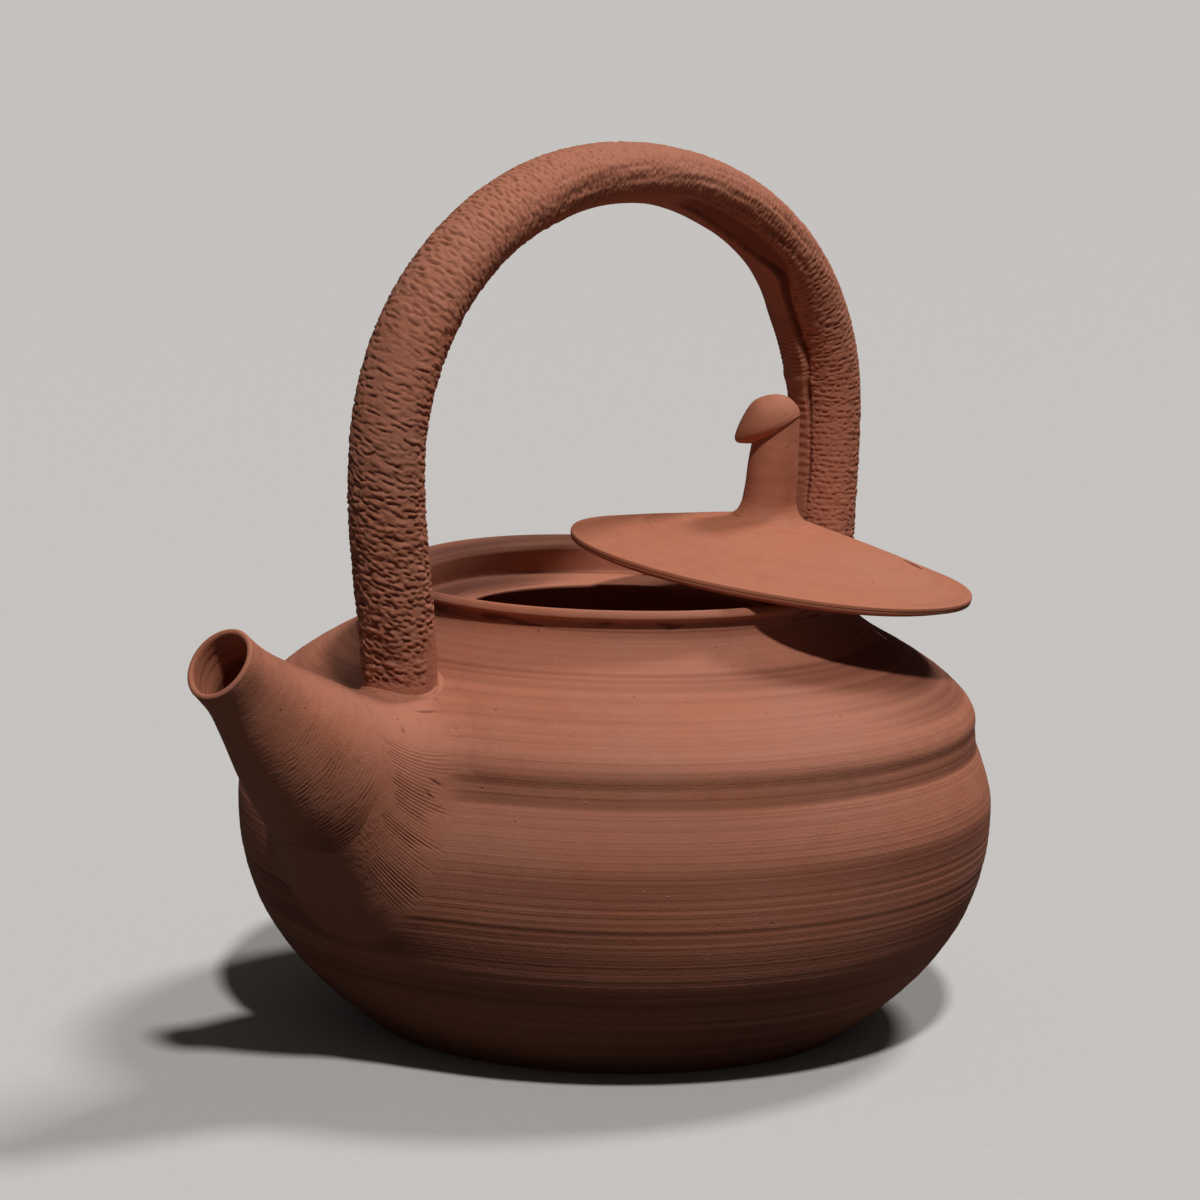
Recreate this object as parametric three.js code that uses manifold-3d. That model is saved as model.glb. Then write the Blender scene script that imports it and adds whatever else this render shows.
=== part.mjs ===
// Unglazed clay teapot with an overhead handle, in millimetres, +Z up.
// The origin is the centre of the flat base. The spout points along -X.
// The handle stands in the XZ plane. The loose lid lies ajar on the rim, pushed to one side and tilted.

import * as THREE from "three";
import { mergeVertices } from "three/addons/utils/BufferGeometryUtils.js";
import Module from "manifold-3d";

const wasm = await Module();
wasm.setup();

const degree = Math.PI / 180;
const upright = Math.PI / 2;

// Clearance between pieces that touch or lie on each other
const gap = 0.3;

// Belly: the lower bowl, from the flat base to the waist
const baseRadius = 48.5;
const bellyRadius = 75;
const bellyHeight = 44;
const baseFlare = 36.5 * degree;
const waistInset = 3.9;
const waistRise = 16.4;
const wallThickness = 4;
const floorThickness = 5;

// Shoulder: the upper dome, from the waist to the top of the neck
const shoulderOverhang = 0.4;
const shoulderRise = 14.1;
const shoulderSlope = 30 * degree;
const neckRadius = 45.3;
const neckFlare = 12.7;
const neckRise = 10.7;
const neckWall = 2.2;

// Collar: the mouth ring, with a bevelled rim and an inner ledge that the closed lid sits on
const rimOverhang = 1.4;
const rimRise = 4;
const rimThickness = 1.7;
const bevelWidth = 5.5;
const bevelDrop = 1.7;
const collarWall = 2.3;
const seatDepth = 7;
const ledgeWidth = 10;
const ledgeFall = 1;
const ledgeThickness = 3;

// Spout: a thrown, tapering tube that meets the vessel just below the waist
const spoutRootHeight = 54;
const spoutReach = 45.6;
const spoutSlope = 40.4 * degree;
const spoutTipRadius = 6.9;
const spoutRootRadius = 17.8;
const spoutLipWall = 1.1;
const spoutRootWall = 3;
const spoutLipTilt = 5 * degree;

// Strainer: a pierced dome inside the vessel, over the opening into the spout
const openingRadius = 10;
const strainerMargin = 3.4;
const strainerDepth = 11;
const strainerWall = 2;
const strainerHoleRadius = 1.3;
const innerRingHoles = 6;
const innerRingSpread = 24 * degree;
const outerRingHoles = 12;
const outerRingSpread = 47 * degree;

// Handle: an oval roll of clay bent by hand into an arch that leans a little towards the spout
const footOutset = 3;
const frontBow = 4.6;
const rearBow = 1.6;
const archSpringRise = 26.3;
const archClearance = 72.3;
const archLean = 3.8;
const archRoundness = 0.57;
const handleDepth = 12.6;
const handleWidth = 16.4;

// Luting: clay worked into the corners round the spout's root and the handle's feet
const spoutFillet = 7.5;
const footFillet = 6;
const filletFullness = 0.25;
const filletEdge = 0.3;

// Lid: a shallow cone with a thin edge, hollow underneath, and a vent hole
const lidPlay = 0.7;
const lidRise = 11;
const lidEdge = 1.5;
const lidLandDrop = 2;
const lidLandInset = 1.2;
const lidHollowRadius = 17;
const lidHollowHeight = 5;
const ventRadius = 1.5;
const ventInset = 6.8;
const ventTurn = 30 * degree;

// Where the loose lid lies: how far it is pushed aside, which way, and how far it tips over
const lidShift = 29.5;
const lidBearing = -50 * degree;
const lidTilt = 8.1 * degree;

// Knob: a stem a little off the lid's centre, and a cap with a nose over its side
const knobOffset = 2.2;
const knobLean = 3.5 * degree;
const stemFootRadius = 9;
const stemFlare = 20 * degree;
const stemRadius = 5.1;
const stemLength = 17;
const capOverhang = 3.1;
const capLift = 17.3;
const capLength = 13.4;
const capWidth = 12;
const capThickness = 9;
const capTilt = 23 * degree;

// How finely round things are divided
const potSides = 56;
const tubeSides = 28;
const smallSides = 20;

const clay = new THREE.Color(0xa4664c);
const darkClay = new THREE.Color(0x8c543e);
const lightClay = new THREE.Color(0xb0715a);

/** A closed geometry as a solid that can be joined and cut. */
function solidOf(geometry) {
  const bare = geometry.index ? geometry.toNonIndexed() : geometry.clone();
  bare.deleteAttribute("normal");
  bare.deleteAttribute("uv");
  const merged = mergeVertices(bare, 1e-3);
  const corners = merged.index.array;
  const kept = [];
  for (let i = 0; i < corners.length; i += 3) {
    const [a, b, c] = [corners[i], corners[i + 1], corners[i + 2]];
    if (a !== b && b !== c && c !== a) {
      kept.push(a, b, c);
    }
  }
  const vertProperties = Float32Array.from(merged.attributes.position.array);
  const triVerts = Uint32Array.from(kept);
  return new wasm.Manifold(new wasm.Mesh({ numProp: 3, vertProperties, triVerts }));
}

/** A solid as a named mesh of unglazed clay. */
function meshOf(name, solid, color, roughness) {
  const { vertProperties, triVerts } = solid.getMesh();
  const geometry = new THREE.BufferGeometry();
  geometry.setAttribute("position", new THREE.BufferAttribute(Float32Array.from(vertProperties), 3));
  geometry.setIndex(new THREE.BufferAttribute(Uint32Array.from(triVerts), 1));
  geometry.computeVertexNormals();
  const material = new THREE.MeshStandardMaterial({ color, roughness, metalness: 0 });
  const mesh = new THREE.Mesh(geometry, material);
  mesh.name = name;
  return mesh;
}

/** A point of a profile: its distance from the axis and its height. */
function at(radius, height) {
  return new THREE.Vector2(radius, height);
}

/** A shape turned about +Z from a profile that runs upwards on its outside. */
function turned(profile, sides = potSides) {
  const geometry = new THREE.LatheGeometry(profile, sides);
  geometry.rotateX(upright);
  return geometry;
}

/** A smooth profile curve; the reaches say how far its end directions carry, as shares of its length. */
function sweepCurve(start, startAngle, startReach, end, endAngle, endReach) {
  const chord = start.distanceTo(end);
  const leave = at(Math.cos(startAngle), Math.sin(startAngle)).multiplyScalar(startReach * chord);
  const arrive = at(Math.cos(endAngle), Math.sin(endAngle)).multiplyScalar(endReach * chord);
  return new THREE.CubicBezierCurve(start, start.clone().add(leave), end.clone().sub(arrive), end);
}

/** A profile moved to its left side by a thickness that changes evenly along it. */
function inset(profile, startThickness, endThickness = startThickness) {
  const last = profile.length - 1;
  return profile.map((point, i) => {
    const along = profile[Math.min(i + 1, last)].clone().sub(profile[Math.max(i - 1, 0)]).normalize();
    const thickness = THREE.MathUtils.lerp(startThickness, endThickness, i / last);
    return at(point.x - along.y * thickness, point.y + along.x * thickness);
  });
}

/** Radius of a profile at a height, by straight lines between its points. */
function radiusAt(profile, height) {
  const next = profile.findIndex((point) => point.y >= height);
  if (next <= 0) {
    return next === 0 ? profile[0].x : profile[profile.length - 1].x;
  }
  const [low, high] = [profile[next - 1], profile[next]];
  return THREE.MathUtils.mapLinear(height, low.y, high.y, low.x, high.x);
}

// Heights and radii that follow from the vessel's sizes
const waistRadius = bellyRadius - waistInset;
const waistHeight = bellyHeight + waistRise;
const shoulderRadius = neckRadius + neckFlare;
const shoulderHeight = waistHeight + shoulderRise;
const neckHeight = shoulderHeight + neckRise;
const rimRadius = neckRadius + rimOverhang;
const rimHeight = neckHeight + rimRise;
const plugRadius = neckRadius - neckWall - gap;
const seatRadius = plugRadius - collarWall;
const seatHeight = rimHeight - seatDepth;
const mouthRadius = seatRadius - ledgeWidth;

// Profiles of the vessel, outside and inside
const bellyLower = sweepCurve(
  at(baseRadius, 0), baseFlare, 0.33,
  at(bellyRadius, bellyHeight), upright, 0.44,
);
const bellyUpper = sweepCurve(
  at(bellyRadius, bellyHeight), upright, 0.36,
  at(waistRadius, waistHeight), upright + 6 * degree, 0.31,
);
const shoulderLower = sweepCurve(
  at(waistRadius + shoulderOverhang, waistHeight + gap), upright, 0.24,
  at(shoulderRadius, shoulderHeight), Math.PI - shoulderSlope, 0.41,
);
const shoulderUpper = sweepCurve(
  at(shoulderRadius, shoulderHeight), Math.PI - shoulderSlope, 0.36,
  at(neckRadius, neckHeight), upright + 8 * degree, 0.29,
);
const bellyOuter = [...bellyLower.getPoints(7), ...bellyUpper.getPoints(3).slice(1)];
const shoulderOuter = [...shoulderLower.getPoints(5), ...shoulderUpper.getPoints(4).slice(1)];
const bellyInset = inset(bellyOuter, wallThickness);
const bellyInner = bellyInset.filter((point) => point.y > floorThickness);
const shoulderInner = inset(shoulderOuter, wallThickness, neckWall);
bellyInner[bellyInner.length - 1].y = waistHeight;
shoulderInner[0].y = waistHeight + gap;
const vesselOuter = [...bellyOuter, ...shoulderOuter];
const vesselInner = [...bellyInner, ...shoulderInner];

/** The whole vessel as if it were solid, grown outwards by the clearance. */
function vesselBlock() {
  const grown = inset(vesselOuter, -gap);
  const top = grown[grown.length - 1].y;
  return solidOf(turned([at(0, -gap), ...grown, at(0, top)]));
}

/** The space inside the vessel, shrunk by the clearance. */
function vesselCavity() {
  const shrunk = inset(vesselInner, gap);
  const low = shrunk[0].y;
  const high = shrunk[shrunk.length - 1].y;
  return solidOf(turned([at(0, low), ...shrunk, at(0, high)]));
}

// The spout's axis runs from its tip down into the vessel, through its root on the outer wall
const spoutAxis = new THREE.Vector3(Math.cos(spoutSlope), 0, -Math.sin(spoutSlope));
const spoutUp = new THREE.Vector3(Math.sin(spoutSlope), 0, Math.cos(spoutSlope));
const spoutSide = new THREE.Vector3(0, 1, 0);
const spoutRoot = new THREE.Vector3(-radiusAt(vesselOuter, spoutRootHeight), 0, spoutRootHeight);
const spoutTip = spoutRoot.clone().addScaledVector(spoutAxis, -spoutReach);
const spoutLength = spoutReach + spoutRootRadius;
const spoutPose = new THREE.Matrix4()
  .makeBasis(spoutUp, spoutSide.clone().negate(), spoutAxis)
  .setPosition(spoutTip);
const spoutOuter = new THREE.CubicBezierCurve(
  at(spoutTipRadius, 0),
  at(spoutTipRadius, spoutLength * 0.22),
  at(spoutRootRadius, spoutLength * 0.42),
  at(spoutRootRadius, spoutLength),
).getPoints(9);

/** A solid turned about the spout's axis; heights run from the tip into the vessel. */
function turnedOnSpout(profile) {
  return solidOf(turned(profile, tubeSides).applyMatrix4(spoutPose));
}

/** The spout as if it were solid, grown outwards by the clearance. */
function spoutBlock() {
  const grown = spoutOuter.map((point) => at(point.x + gap, point.y));
  return turnedOnSpout([at(0, 0), ...grown, at(0, spoutLength)]);
}

/** The round passage from the spout through the vessel's wall. */
function spoutOpening() {
  const halfLength = openingRadius + 2 * wallThickness;
  const [start, end] = [spoutReach - halfLength, spoutReach + halfLength];
  return turnedOnSpout([at(0, start), at(openingRadius, start), at(openingRadius, end), at(0, end)]);
}

function makeBelly() {
  const floorRadius = radiusAt(bellyInset, floorThickness);
  const bowl = turned([
    at(0, 0),
    ...bellyOuter,
    ...bellyInner.slice().reverse(),
    at(floorRadius, floorThickness),
    at(0, floorThickness),
  ]);
  return solidOf(bowl).subtract(spoutOpening());
}

function makeShoulder() {
  const dome = turned([...shoulderOuter, ...shoulderInner.slice().reverse(), shoulderOuter[0]]);
  return solidOf(dome).subtract(spoutOpening());
}

/** The collar plugs into the neck, and its rim overhangs the neck's edge. */
function makeCollar() {
  const ledgeHeight = seatHeight - ledgeFall;
  const lowest = ledgeHeight - ledgeThickness;
  const bevelFoot = rimHeight - bevelDrop;
  const outline = [
    at(mouthRadius, lowest),
    at(plugRadius, lowest),
    at(plugRadius, neckHeight + gap),
    at(neckRadius - gap, neckHeight + gap),
    at(rimRadius, rimHeight - rimThickness),
    at(rimRadius, rimHeight),
    at(rimRadius - bevelWidth, bevelFoot),
    at(seatRadius, bevelFoot - (rimRadius - bevelWidth - seatRadius)),
    at(seatRadius, seatHeight),
    at(mouthRadius, ledgeHeight),
  ];
  return solidOf(turned([...outline, outline[0]]));
}

function makeSpout() {
  const bore = spoutOuter.map((point) => {
    const thickness = THREE.MathUtils.lerp(spoutLipWall, spoutRootWall, point.y / spoutLength);
    return at(point.x - thickness, point.y);
  });
  const tube = turnedOnSpout([...spoutOuter, ...bore.reverse(), spoutOuter[0]]);
  const trim = new THREE.BoxGeometry(4 * spoutTipRadius, 4 * spoutTipRadius, 2 * spoutTipRadius);
  trim.translate(0, 0, -spoutTipRadius);
  trim.rotateY(-spoutLipTilt);
  trim.translate(0, 0, spoutTipRadius * Math.tan(spoutLipTilt));
  trim.applyMatrix4(spoutPose);
  return tube.subtract(solidOf(trim)).subtract(vesselBlock());
}

/** A pierced half dome against the inner wall, centred where the spout's axis comes through. */
function makeStrainer() {
  const centre = spoutRoot.clone().addScaledVector(spoutAxis, wallThickness / Math.cos(spoutSlope));
  const radius = openingRadius / Math.cos(spoutSlope) + strainerMargin;
  const dome = (thinning) => {
    const ball = new THREE.SphereGeometry(1, smallSides, smallSides / 2);
    ball.scale(strainerDepth - thinning, radius - thinning, radius - thinning);
    ball.translate(centre.x, centre.y, centre.z);
    return solidOf(ball);
  };
  const drill = (spread, turn) => {
    const hole = new THREE.CylinderGeometry(strainerHoleRadius, strainerHoleRadius, 2 * radius, 6);
    hole.translate(0, radius, 0);
    hole.rotateZ(spread - upright);
    hole.rotateX(turn);
    hole.translate(centre.x, centre.y, centre.z);
    return solidOf(hole);
  };
  const ringOf = (count, spread) =>
    Array.from({ length: count }, (_, i) => drill(spread, (i / count) * 2 * Math.PI));
  const holes = [
    ...ringOf(1, 0),
    ...ringOf(innerRingHoles, innerRingSpread),
    ...ringOf(outerRingHoles, outerRingSpread),
  ];
  const shell = dome(0).subtract(dome(strainerWall)).intersect(vesselCavity());
  return holes.reduce((left, hole) => left.subtract(hole), shell);
}

// The handle's feet stand on the shoulder, and its arch is measured from the rim
const footSpan = shoulderRadius + footOutset;
const archSpring = rimHeight + archSpringRise;
const archTop = rimHeight + archClearance + handleDepth / 2;

/** Centre line of the handle, from inside the front shoulder over the top to inside the rear shoulder. */
function handlePath() {
  const footDepth = shoulderHeight - handleDepth / 2 - gap;
  const reach = (archSpring - footDepth) / 3;
  const spot = (x, z) => new THREE.Vector3(x, 0, z);
  const leg = (side, bow) => [
    spot(side * footSpan, footDepth),
    spot(side * footSpan, footDepth + reach),
    spot(side * (footSpan + bow), archSpring - reach),
    spot(side * (footSpan + bow), archSpring),
  ];
  const bend = (side, bow) => [
    spot(side * (footSpan + bow), archSpring),
    spot(side * (footSpan + bow), archSpring + archRoundness * (archTop - archSpring)),
    spot(side * archRoundness * (footSpan + bow + side * archLean) - archLean, archTop),
    spot(-archLean, archTop),
  ];
  const path = new THREE.CurvePath();
  path.add(new THREE.CubicBezierCurve3(...leg(-1, frontBow)));
  path.add(new THREE.CubicBezierCurve3(...bend(-1, frontBow)));
  path.add(new THREE.CubicBezierCurve3(...bend(1, rearBow).reverse()));
  path.add(new THREE.CubicBezierCurve3(...leg(1, rearBow).reverse()));
  return path;
}

/** The oval roll along the handle's centre line, grown by an allowance. */
function handleRoll(allowance) {
  const section = new THREE.Shape();
  section.absellipse(0, 0, handleWidth / 2 + allowance, handleDepth / 2 + allowance, 0, 2 * Math.PI);
  const roll = new THREE.ExtrudeGeometry(section, {
    steps: 36,
    curveSegments: 8,
    extrudePath: handlePath(),
    bevelEnabled: false,
  });
  return solidOf(roll);
}

function makeHandle() {
  return handleRoll(0).subtract(vesselBlock()).subtract(spoutBlock());
}

/**
 * The luting's cross-section at one turn round a tube: a hollow curve from the tube to the vessel,
 * with its back buried a little in both.
 */
function lutingSection(tube, reach, turn) {
  let [outside, inside] = tube.range;
  for (let step = 0; step < 30; step += 1) {
    const middle = (outside + inside) / 2;
    const spot = tube.surface(turn, middle);
    const isInside = Math.hypot(spot.x, spot.y) < radiusAt(vesselOuter, spot.z);
    [outside, inside] = isInside ? [outside, middle] : [middle, inside];
  }
  const seam = tube.surface(turn, outside);
  const alongTube = tube.surface(turn, outside - 1).sub(seam).normalize();
  const outOfTube = seam.clone().sub(tube.centre(outside)).normalize();
  const fall = radiusAt(vesselOuter, seam.z - 0.5) - radiusAt(vesselOuter, seam.z + 0.5);
  const outOfVessel = new THREE.Vector3(seam.x, seam.y, 0).normalize().setZ(fall).normalize();
  const alongVessel = outOfTube.clone().projectOnPlane(outOfVessel).normalize();
  const hollow = alongTube.clone().add(alongVessel).multiplyScalar(filletFullness * reach);
  const lift = gap + filletEdge;
  const onTube = seam.clone().addScaledVector(alongTube, reach).addScaledVector(outOfTube, lift);
  const onVessel = seam.clone().addScaledVector(alongVessel, reach).addScaledVector(outOfVessel, lift);
  const front = new THREE.QuadraticBezierCurve3(onTube, seam.clone().add(hollow), onVessel);
  const buried = reach / 4;
  return [
    seam.clone().addScaledVector(outOfTube, -buried).addScaledVector(outOfVessel, -buried),
    onTube.clone().addScaledVector(outOfTube, -buried),
    ...front.getPoints(4),
    onVessel.clone().addScaledVector(outOfVessel, -buried),
  ];
}

/**
 * A ring of clay in the corner between a tube and the vessel. The tube gives the points on its centre
 * line and on its surface for a distance along it, which grows towards the vessel, and a turn about it.
 */
function lutingRing(tube, reach) {
  const sections = Array.from({ length: tubeSides }, (_, i) =>
    lutingSection(tube, reach, (i / tubeSides) * 2 * Math.PI));
  const sides = sections[0].length;
  const ring = new THREE.TorusGeometry(1, 0.1, sides, tubeSides);
  for (let side = 0; side <= sides; side += 1) {
    for (let i = 0; i <= tubeSides; i += 1) {
      const { x, y, z } = sections[i % tubeSides][side % sides];
      ring.attributes.position.setXYZ(side * (tubeSides + 1) + i, x, y, z);
    }
  }
  return solidOf(ring);
}

function spoutLuting() {
  const centre = (along) => spoutTip.clone().addScaledVector(spoutAxis, along);
  const surface = (turn, along) => {
    const radius = radiusAt(spoutOuter, along);
    return centre(along)
      .addScaledVector(spoutSide, radius * Math.cos(turn))
      .addScaledVector(spoutUp, radius * Math.sin(turn));
  };
  return lutingRing({ centre, surface, range: [spoutReach / 3, spoutLength] }, spoutFillet);
}

/** Luting round one foot of the handle; side is -1 at the spout and 1 at the back. */
function footLuting(side) {
  const centre = (along) => new THREE.Vector3(side * footSpan, 0, rimHeight - along);
  const surface = (turn, along) => {
    const x = (handleDepth / 2) * Math.cos(turn);
    const y = (-handleWidth / 2) * Math.sin(turn);
    return centre(along).add(new THREE.Vector3(x, y, 0));
  };
  return lutingRing({ centre, surface, range: [0, rimHeight - bellyHeight] }, footFillet);
}

/** Luting blanks joined and trimmed to the pieces they hold, without the slivers that the cuts leave. */
function makeLuting(blanks) {
  const whole = blanks.reduce((sum, blank) => sum.add(blank));
  const trimmed = whole.subtract(vesselBlock()).subtract(spoutBlock()).subtract(handleRoll(gap));
  return trimmed.decompose().reduce((main, body) => (body.volume() > main.volume() ? body : main));
}

// The closed lid would fill the seat with a little play all round
const lidRadius = seatRadius - lidPlay;
const lidLandRadius = lidRadius - lidLandInset;

// The ajar lid bears on the rim, so its height follows from where its lower edge crosses the rim's circle
const landShift = lidShift - lidLandDrop * Math.sin(lidTilt);
const crossing =
  (rimRadius ** 2 - lidLandRadius ** 2 - landShift ** 2) / (2 * landShift * Math.cos(lidTilt));
const lidHeight = rimHeight + gap + lidLandDrop * Math.cos(lidTilt) + crossing * Math.sin(lidTilt);

/** Height of the lid's top above the plane of its edge. */
function lidTop(radius) {
  return lidRise * (1 - radius / lidRadius);
}

/** Height of the lid's underside: a shallow bowl that rests on the rim from one crossing to the other. */
function lidUnder(radius) {
  const bowl = (lidLandRadius ** 2 * Math.tan(lidTilt)) / (2 * landShift * Math.cos(lidTilt));
  return bowl * (1 - (radius / lidLandRadius) ** 2) - lidLandDrop;
}

function makeLid() {
  const bearing = Array.from({ length: 5 }, (_, i) => {
    const radius = THREE.MathUtils.lerp(lidHollowRadius, lidLandRadius, i / 4);
    return at(radius, lidUnder(radius));
  });
  const hollow = sweepCurve(at(0, lidHollowHeight), 0, 0.5, bearing[0], -shoulderSlope, 0.2);
  const crown = stemRadius / 2;
  const cone = turned([
    ...hollow.getPoints(4),
    ...bearing.slice(1),
    at(lidRadius, -lidEdge),
    at(lidRadius, 0),
    at(lidRadius / 2, lidTop(lidRadius / 2)),
    at(crown, lidTop(crown)),
    at(0, lidTop(crown)),
  ]);
  const vent = new THREE.CylinderGeometry(ventRadius, ventRadius, 3 * lidRise, 12);
  vent.rotateX(upright);
  vent.translate(lidRadius - ventInset, 0, 0);
  vent.rotateZ(ventTurn);
  return solidOf(cone).subtract(solidOf(vent));
}

/** The cap of the knob, grown by an allowance. */
function capBlank(allowance) {
  const cap = new THREE.SphereGeometry(1, smallSides, smallSides / 2);
  cap.rotateX(upright);
  cap.scale(capLength / 2 + allowance, capWidth / 2 + allowance, capThickness / 2 + allowance);
  cap.rotateY(-capTilt);
  cap.translate(-knobOffset - capOverhang, 0, lidRise + capLift);
  return solidOf(cap);
}

/** The stem flares into the lid's cone, and its top goes into the cap. */
function makeStem() {
  const foot = lidTop(stemFootRadius) - lidRise;
  const flare = sweepCurve(
    at(stemFootRadius, foot), Math.PI - stemFlare, 0.3,
    at(stemRadius, stemLength), upright, 0.6,
  );
  const buried = foot - lidEdge;
  const profile = [at(0, buried), at(stemFootRadius, buried), ...flare.getPoints(6), at(0, stemLength)];
  const stem = turned(profile, smallSides);
  stem.rotateY(-knobLean);
  stem.translate(-knobOffset, 0, lidRise);
  const cone = [at(0, -lidRise), at(lidRadius, -lidRise), at(lidRadius, gap), at(0, lidTop(0) + gap)];
  return solidOf(stem).subtract(solidOf(turned(cone))).subtract(capBlank(gap));
}

const outward = new THREE.Vector3(Math.cos(lidBearing), Math.sin(lidBearing), 0);
const lidX = outward.clone().multiplyScalar(Math.cos(lidTilt)).setZ(-Math.sin(lidTilt));
const lidZ = outward.clone().multiplyScalar(Math.sin(lidTilt)).setZ(Math.cos(lidTilt));
const lidPose = new THREE.Matrix4()
  .makeBasis(lidX, lidZ.clone().cross(lidX), lidZ)
  .setPosition(outward.clone().multiplyScalar(lidShift).setZ(lidHeight));

const looseLid = new THREE.Group();
looseLid.add(
  meshOf("lid", makeLid(), lightClay, 0.82),
  meshOf("knob_stem", makeStem(), lightClay, 0.84),
  meshOf("knob_cap", capBlank(0), lightClay, 0.84),
);
looseLid.applyMatrix4(lidPose);

const teapot = new THREE.Group();
teapot.name = "teapot";
teapot.add(
  meshOf("belly", makeBelly(), clay, 0.86),
  meshOf("shoulder", makeShoulder(), clay, 0.86),
  meshOf("collar", makeCollar(), lightClay, 0.84),
  meshOf("spout", makeSpout(), clay, 0.84),
  meshOf("strainer", makeStrainer(), darkClay, 0.9),
  meshOf("handle", makeHandle(), lightClay, 0.92),
  meshOf("front_luting", makeLuting([spoutLuting(), footLuting(-1)]), clay, 0.9),
  meshOf("rear_luting", makeLuting([footLuting(1)]), clay, 0.9),
  looseLid,
);

export default teapot;
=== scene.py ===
"""The looks of an unglazed clay teapot. Lengths are in millimetres until a mesh is made."""

import math

import bpy
import numpy as np
from mathutils import Matrix, Vector


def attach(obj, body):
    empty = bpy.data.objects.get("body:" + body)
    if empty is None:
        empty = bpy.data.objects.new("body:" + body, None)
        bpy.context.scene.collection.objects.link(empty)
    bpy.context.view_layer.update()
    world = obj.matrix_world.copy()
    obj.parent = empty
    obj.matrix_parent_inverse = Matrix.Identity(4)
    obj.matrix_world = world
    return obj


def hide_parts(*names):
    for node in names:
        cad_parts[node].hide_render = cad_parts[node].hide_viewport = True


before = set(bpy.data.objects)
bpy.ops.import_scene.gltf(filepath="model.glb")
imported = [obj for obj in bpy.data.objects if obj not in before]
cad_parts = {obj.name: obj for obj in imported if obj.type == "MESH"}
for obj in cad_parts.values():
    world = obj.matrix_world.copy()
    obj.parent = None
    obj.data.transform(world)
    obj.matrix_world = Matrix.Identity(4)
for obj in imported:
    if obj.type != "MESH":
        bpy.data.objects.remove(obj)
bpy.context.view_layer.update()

MM = 0.001
DEG = math.pi / 180
TURN = 2 * math.pi

# Outline of the pot, as (radius, height)
BASE_R, BASE_FLARE = 48.5, 36.5 * DEG
BELLY_R, BELLY_Z = 75.0, 44.0
KINK_R, KINK_Z = 71.75, 56.6
BAND_R, BAND_Z = 71.3, 62.3
SHOULDER_R, SHOULDER_Z, SHOULDER_SLOPE = 58.0, 74.5, 30 * DEG
NECK_R, NECK_Z = 45.3, 85.2
WALL, NECK_WALL, FLOOR = 4.0, 2.2, 5.0
SEAM_Z = 60.55
WAIST_LOW, WAIST_TOP = 55.8, 61.0

# Collar
RIM_R, RIM_Z, PLUG_R = 46.7, 89.2, 42.8
SEAT_R, SEAT_Z, MOUTH_R = 40.5, 82.2, 30.5
RIM_LIFT, RIM_LIFT_AT, RIM_LIFT_WIDTH = 0.6, 78 * DEG, 38 * DEG

# Spout, along its own axis
SPOUT_SLOPE, SPOUT_REACH, SPOUT_ROOT_Z = 40.4 * DEG, 45.6, 54.0
SPOUT_TIP_R, SPOUT_ROOT_R, SPOUT_HOLE_R = 6.9, 17.8, 10.0
SPOUT_LENGTH = SPOUT_REACH + SPOUT_ROOT_R
LIP_TILT, LIP_WALL = 5 * DEG, 1.15
SPOUT_BLEND = 12.0

# Handle
FOOT_X, HANDLE_D, HANDLE_W = 61.0, 12.6, 16.4
FRONT_BOW, REAR_BOW = 4.6, 1.6
ARCH_SPRING, ARCH_TOP, ARCH_LEAN, ARCH_ROUND = RIM_Z + 26.3, RIM_Z + 72.3 + 6.3, 3.8, 0.57
HANDLE_FOOT_Z = SHOULDER_Z - 6.6

# Lid and knob, in the lid's own frame. The land and its drop give where the lid rests, as on the solid;
# the underside that is made ends at the foot, which is higher, because the photo shows a thinner edge
LID_R, LID_RISE, LID_EDGE, LID_LAND, LID_DROP, LID_LONGER = 39.8, 11.0, 1.0, 38.6, 2.0, 0.7
LID_FOOT, LID_FOOT_R = 1.4, 37.4
LID_SHIFT, LID_BEARING, LID_TILT = 29.5, -50 * DEG, 8.1 * DEG
LAND_SHIFT = LID_SHIFT - LID_DROP * math.sin(LID_TILT)
VENT_PLACE, VENT_TURN, VENT_SIZE = (28.1, 4.9), -45 * DEG, (2.4, 1.3)
KNOB_X, KNOB_LEAN, STEM_TOP = -2.0, 3.5 * DEG, 21.5
CAP_X, CAP_Z, CAP_TILT = -5.05, 27.8, 34 * DEG
CAP_LENGTH, CAP_BREADTH, CAP_HEIGHT, CAP_BELOW = 7.2, 5.7, 5.3, 2.4

# Camera; its azimuth is measured from -Y towards +X
VIEW_AZIMUTH, VIEW_DISTANCE, VIEW_HEIGHT = -48, 850, 228.755
VIEW_YAW, VIEW_PITCH, VIEW_ROLL = -0.25589 * DEG, 9.72024 * DEG, 1.28597 * DEG
VIEW_LENS, SENSOR = 130.477, 36

# Lamps, as (name, strength, degrees across, azimuth from the camera's, elevation)
LAMPS = (("key", 1.98, 5, 13, 59), ("back", 1.46, 12, 129, 57))
LAMP_COLOR, WORLD_COLOR, WORLD_STRENGTH = (1.0, 0.985, 0.965), (1.0, 0.985, 0.97, 1), 0.05

# The floor as the camera sees it, from darkest to palest, and as it lights the pot from below
FLOOR_SEEN, FLOOR_LIGHT = ((0.555, 0.545, 0.535), (0.605, 0.595, 0.585)), (0.075, 0.074, 0.073)


# Curves

def bezier(points, count=200):
    """Points along a cubic curve."""
    a, b, c, d = (np.array(p, float) for p in points)
    t = np.linspace(0, 1, count)[:, None]
    return (1 - t) ** 3 * a + 3 * (1 - t) ** 2 * t * b + 3 * (1 - t) * t * t * c + t**3 * d


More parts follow.
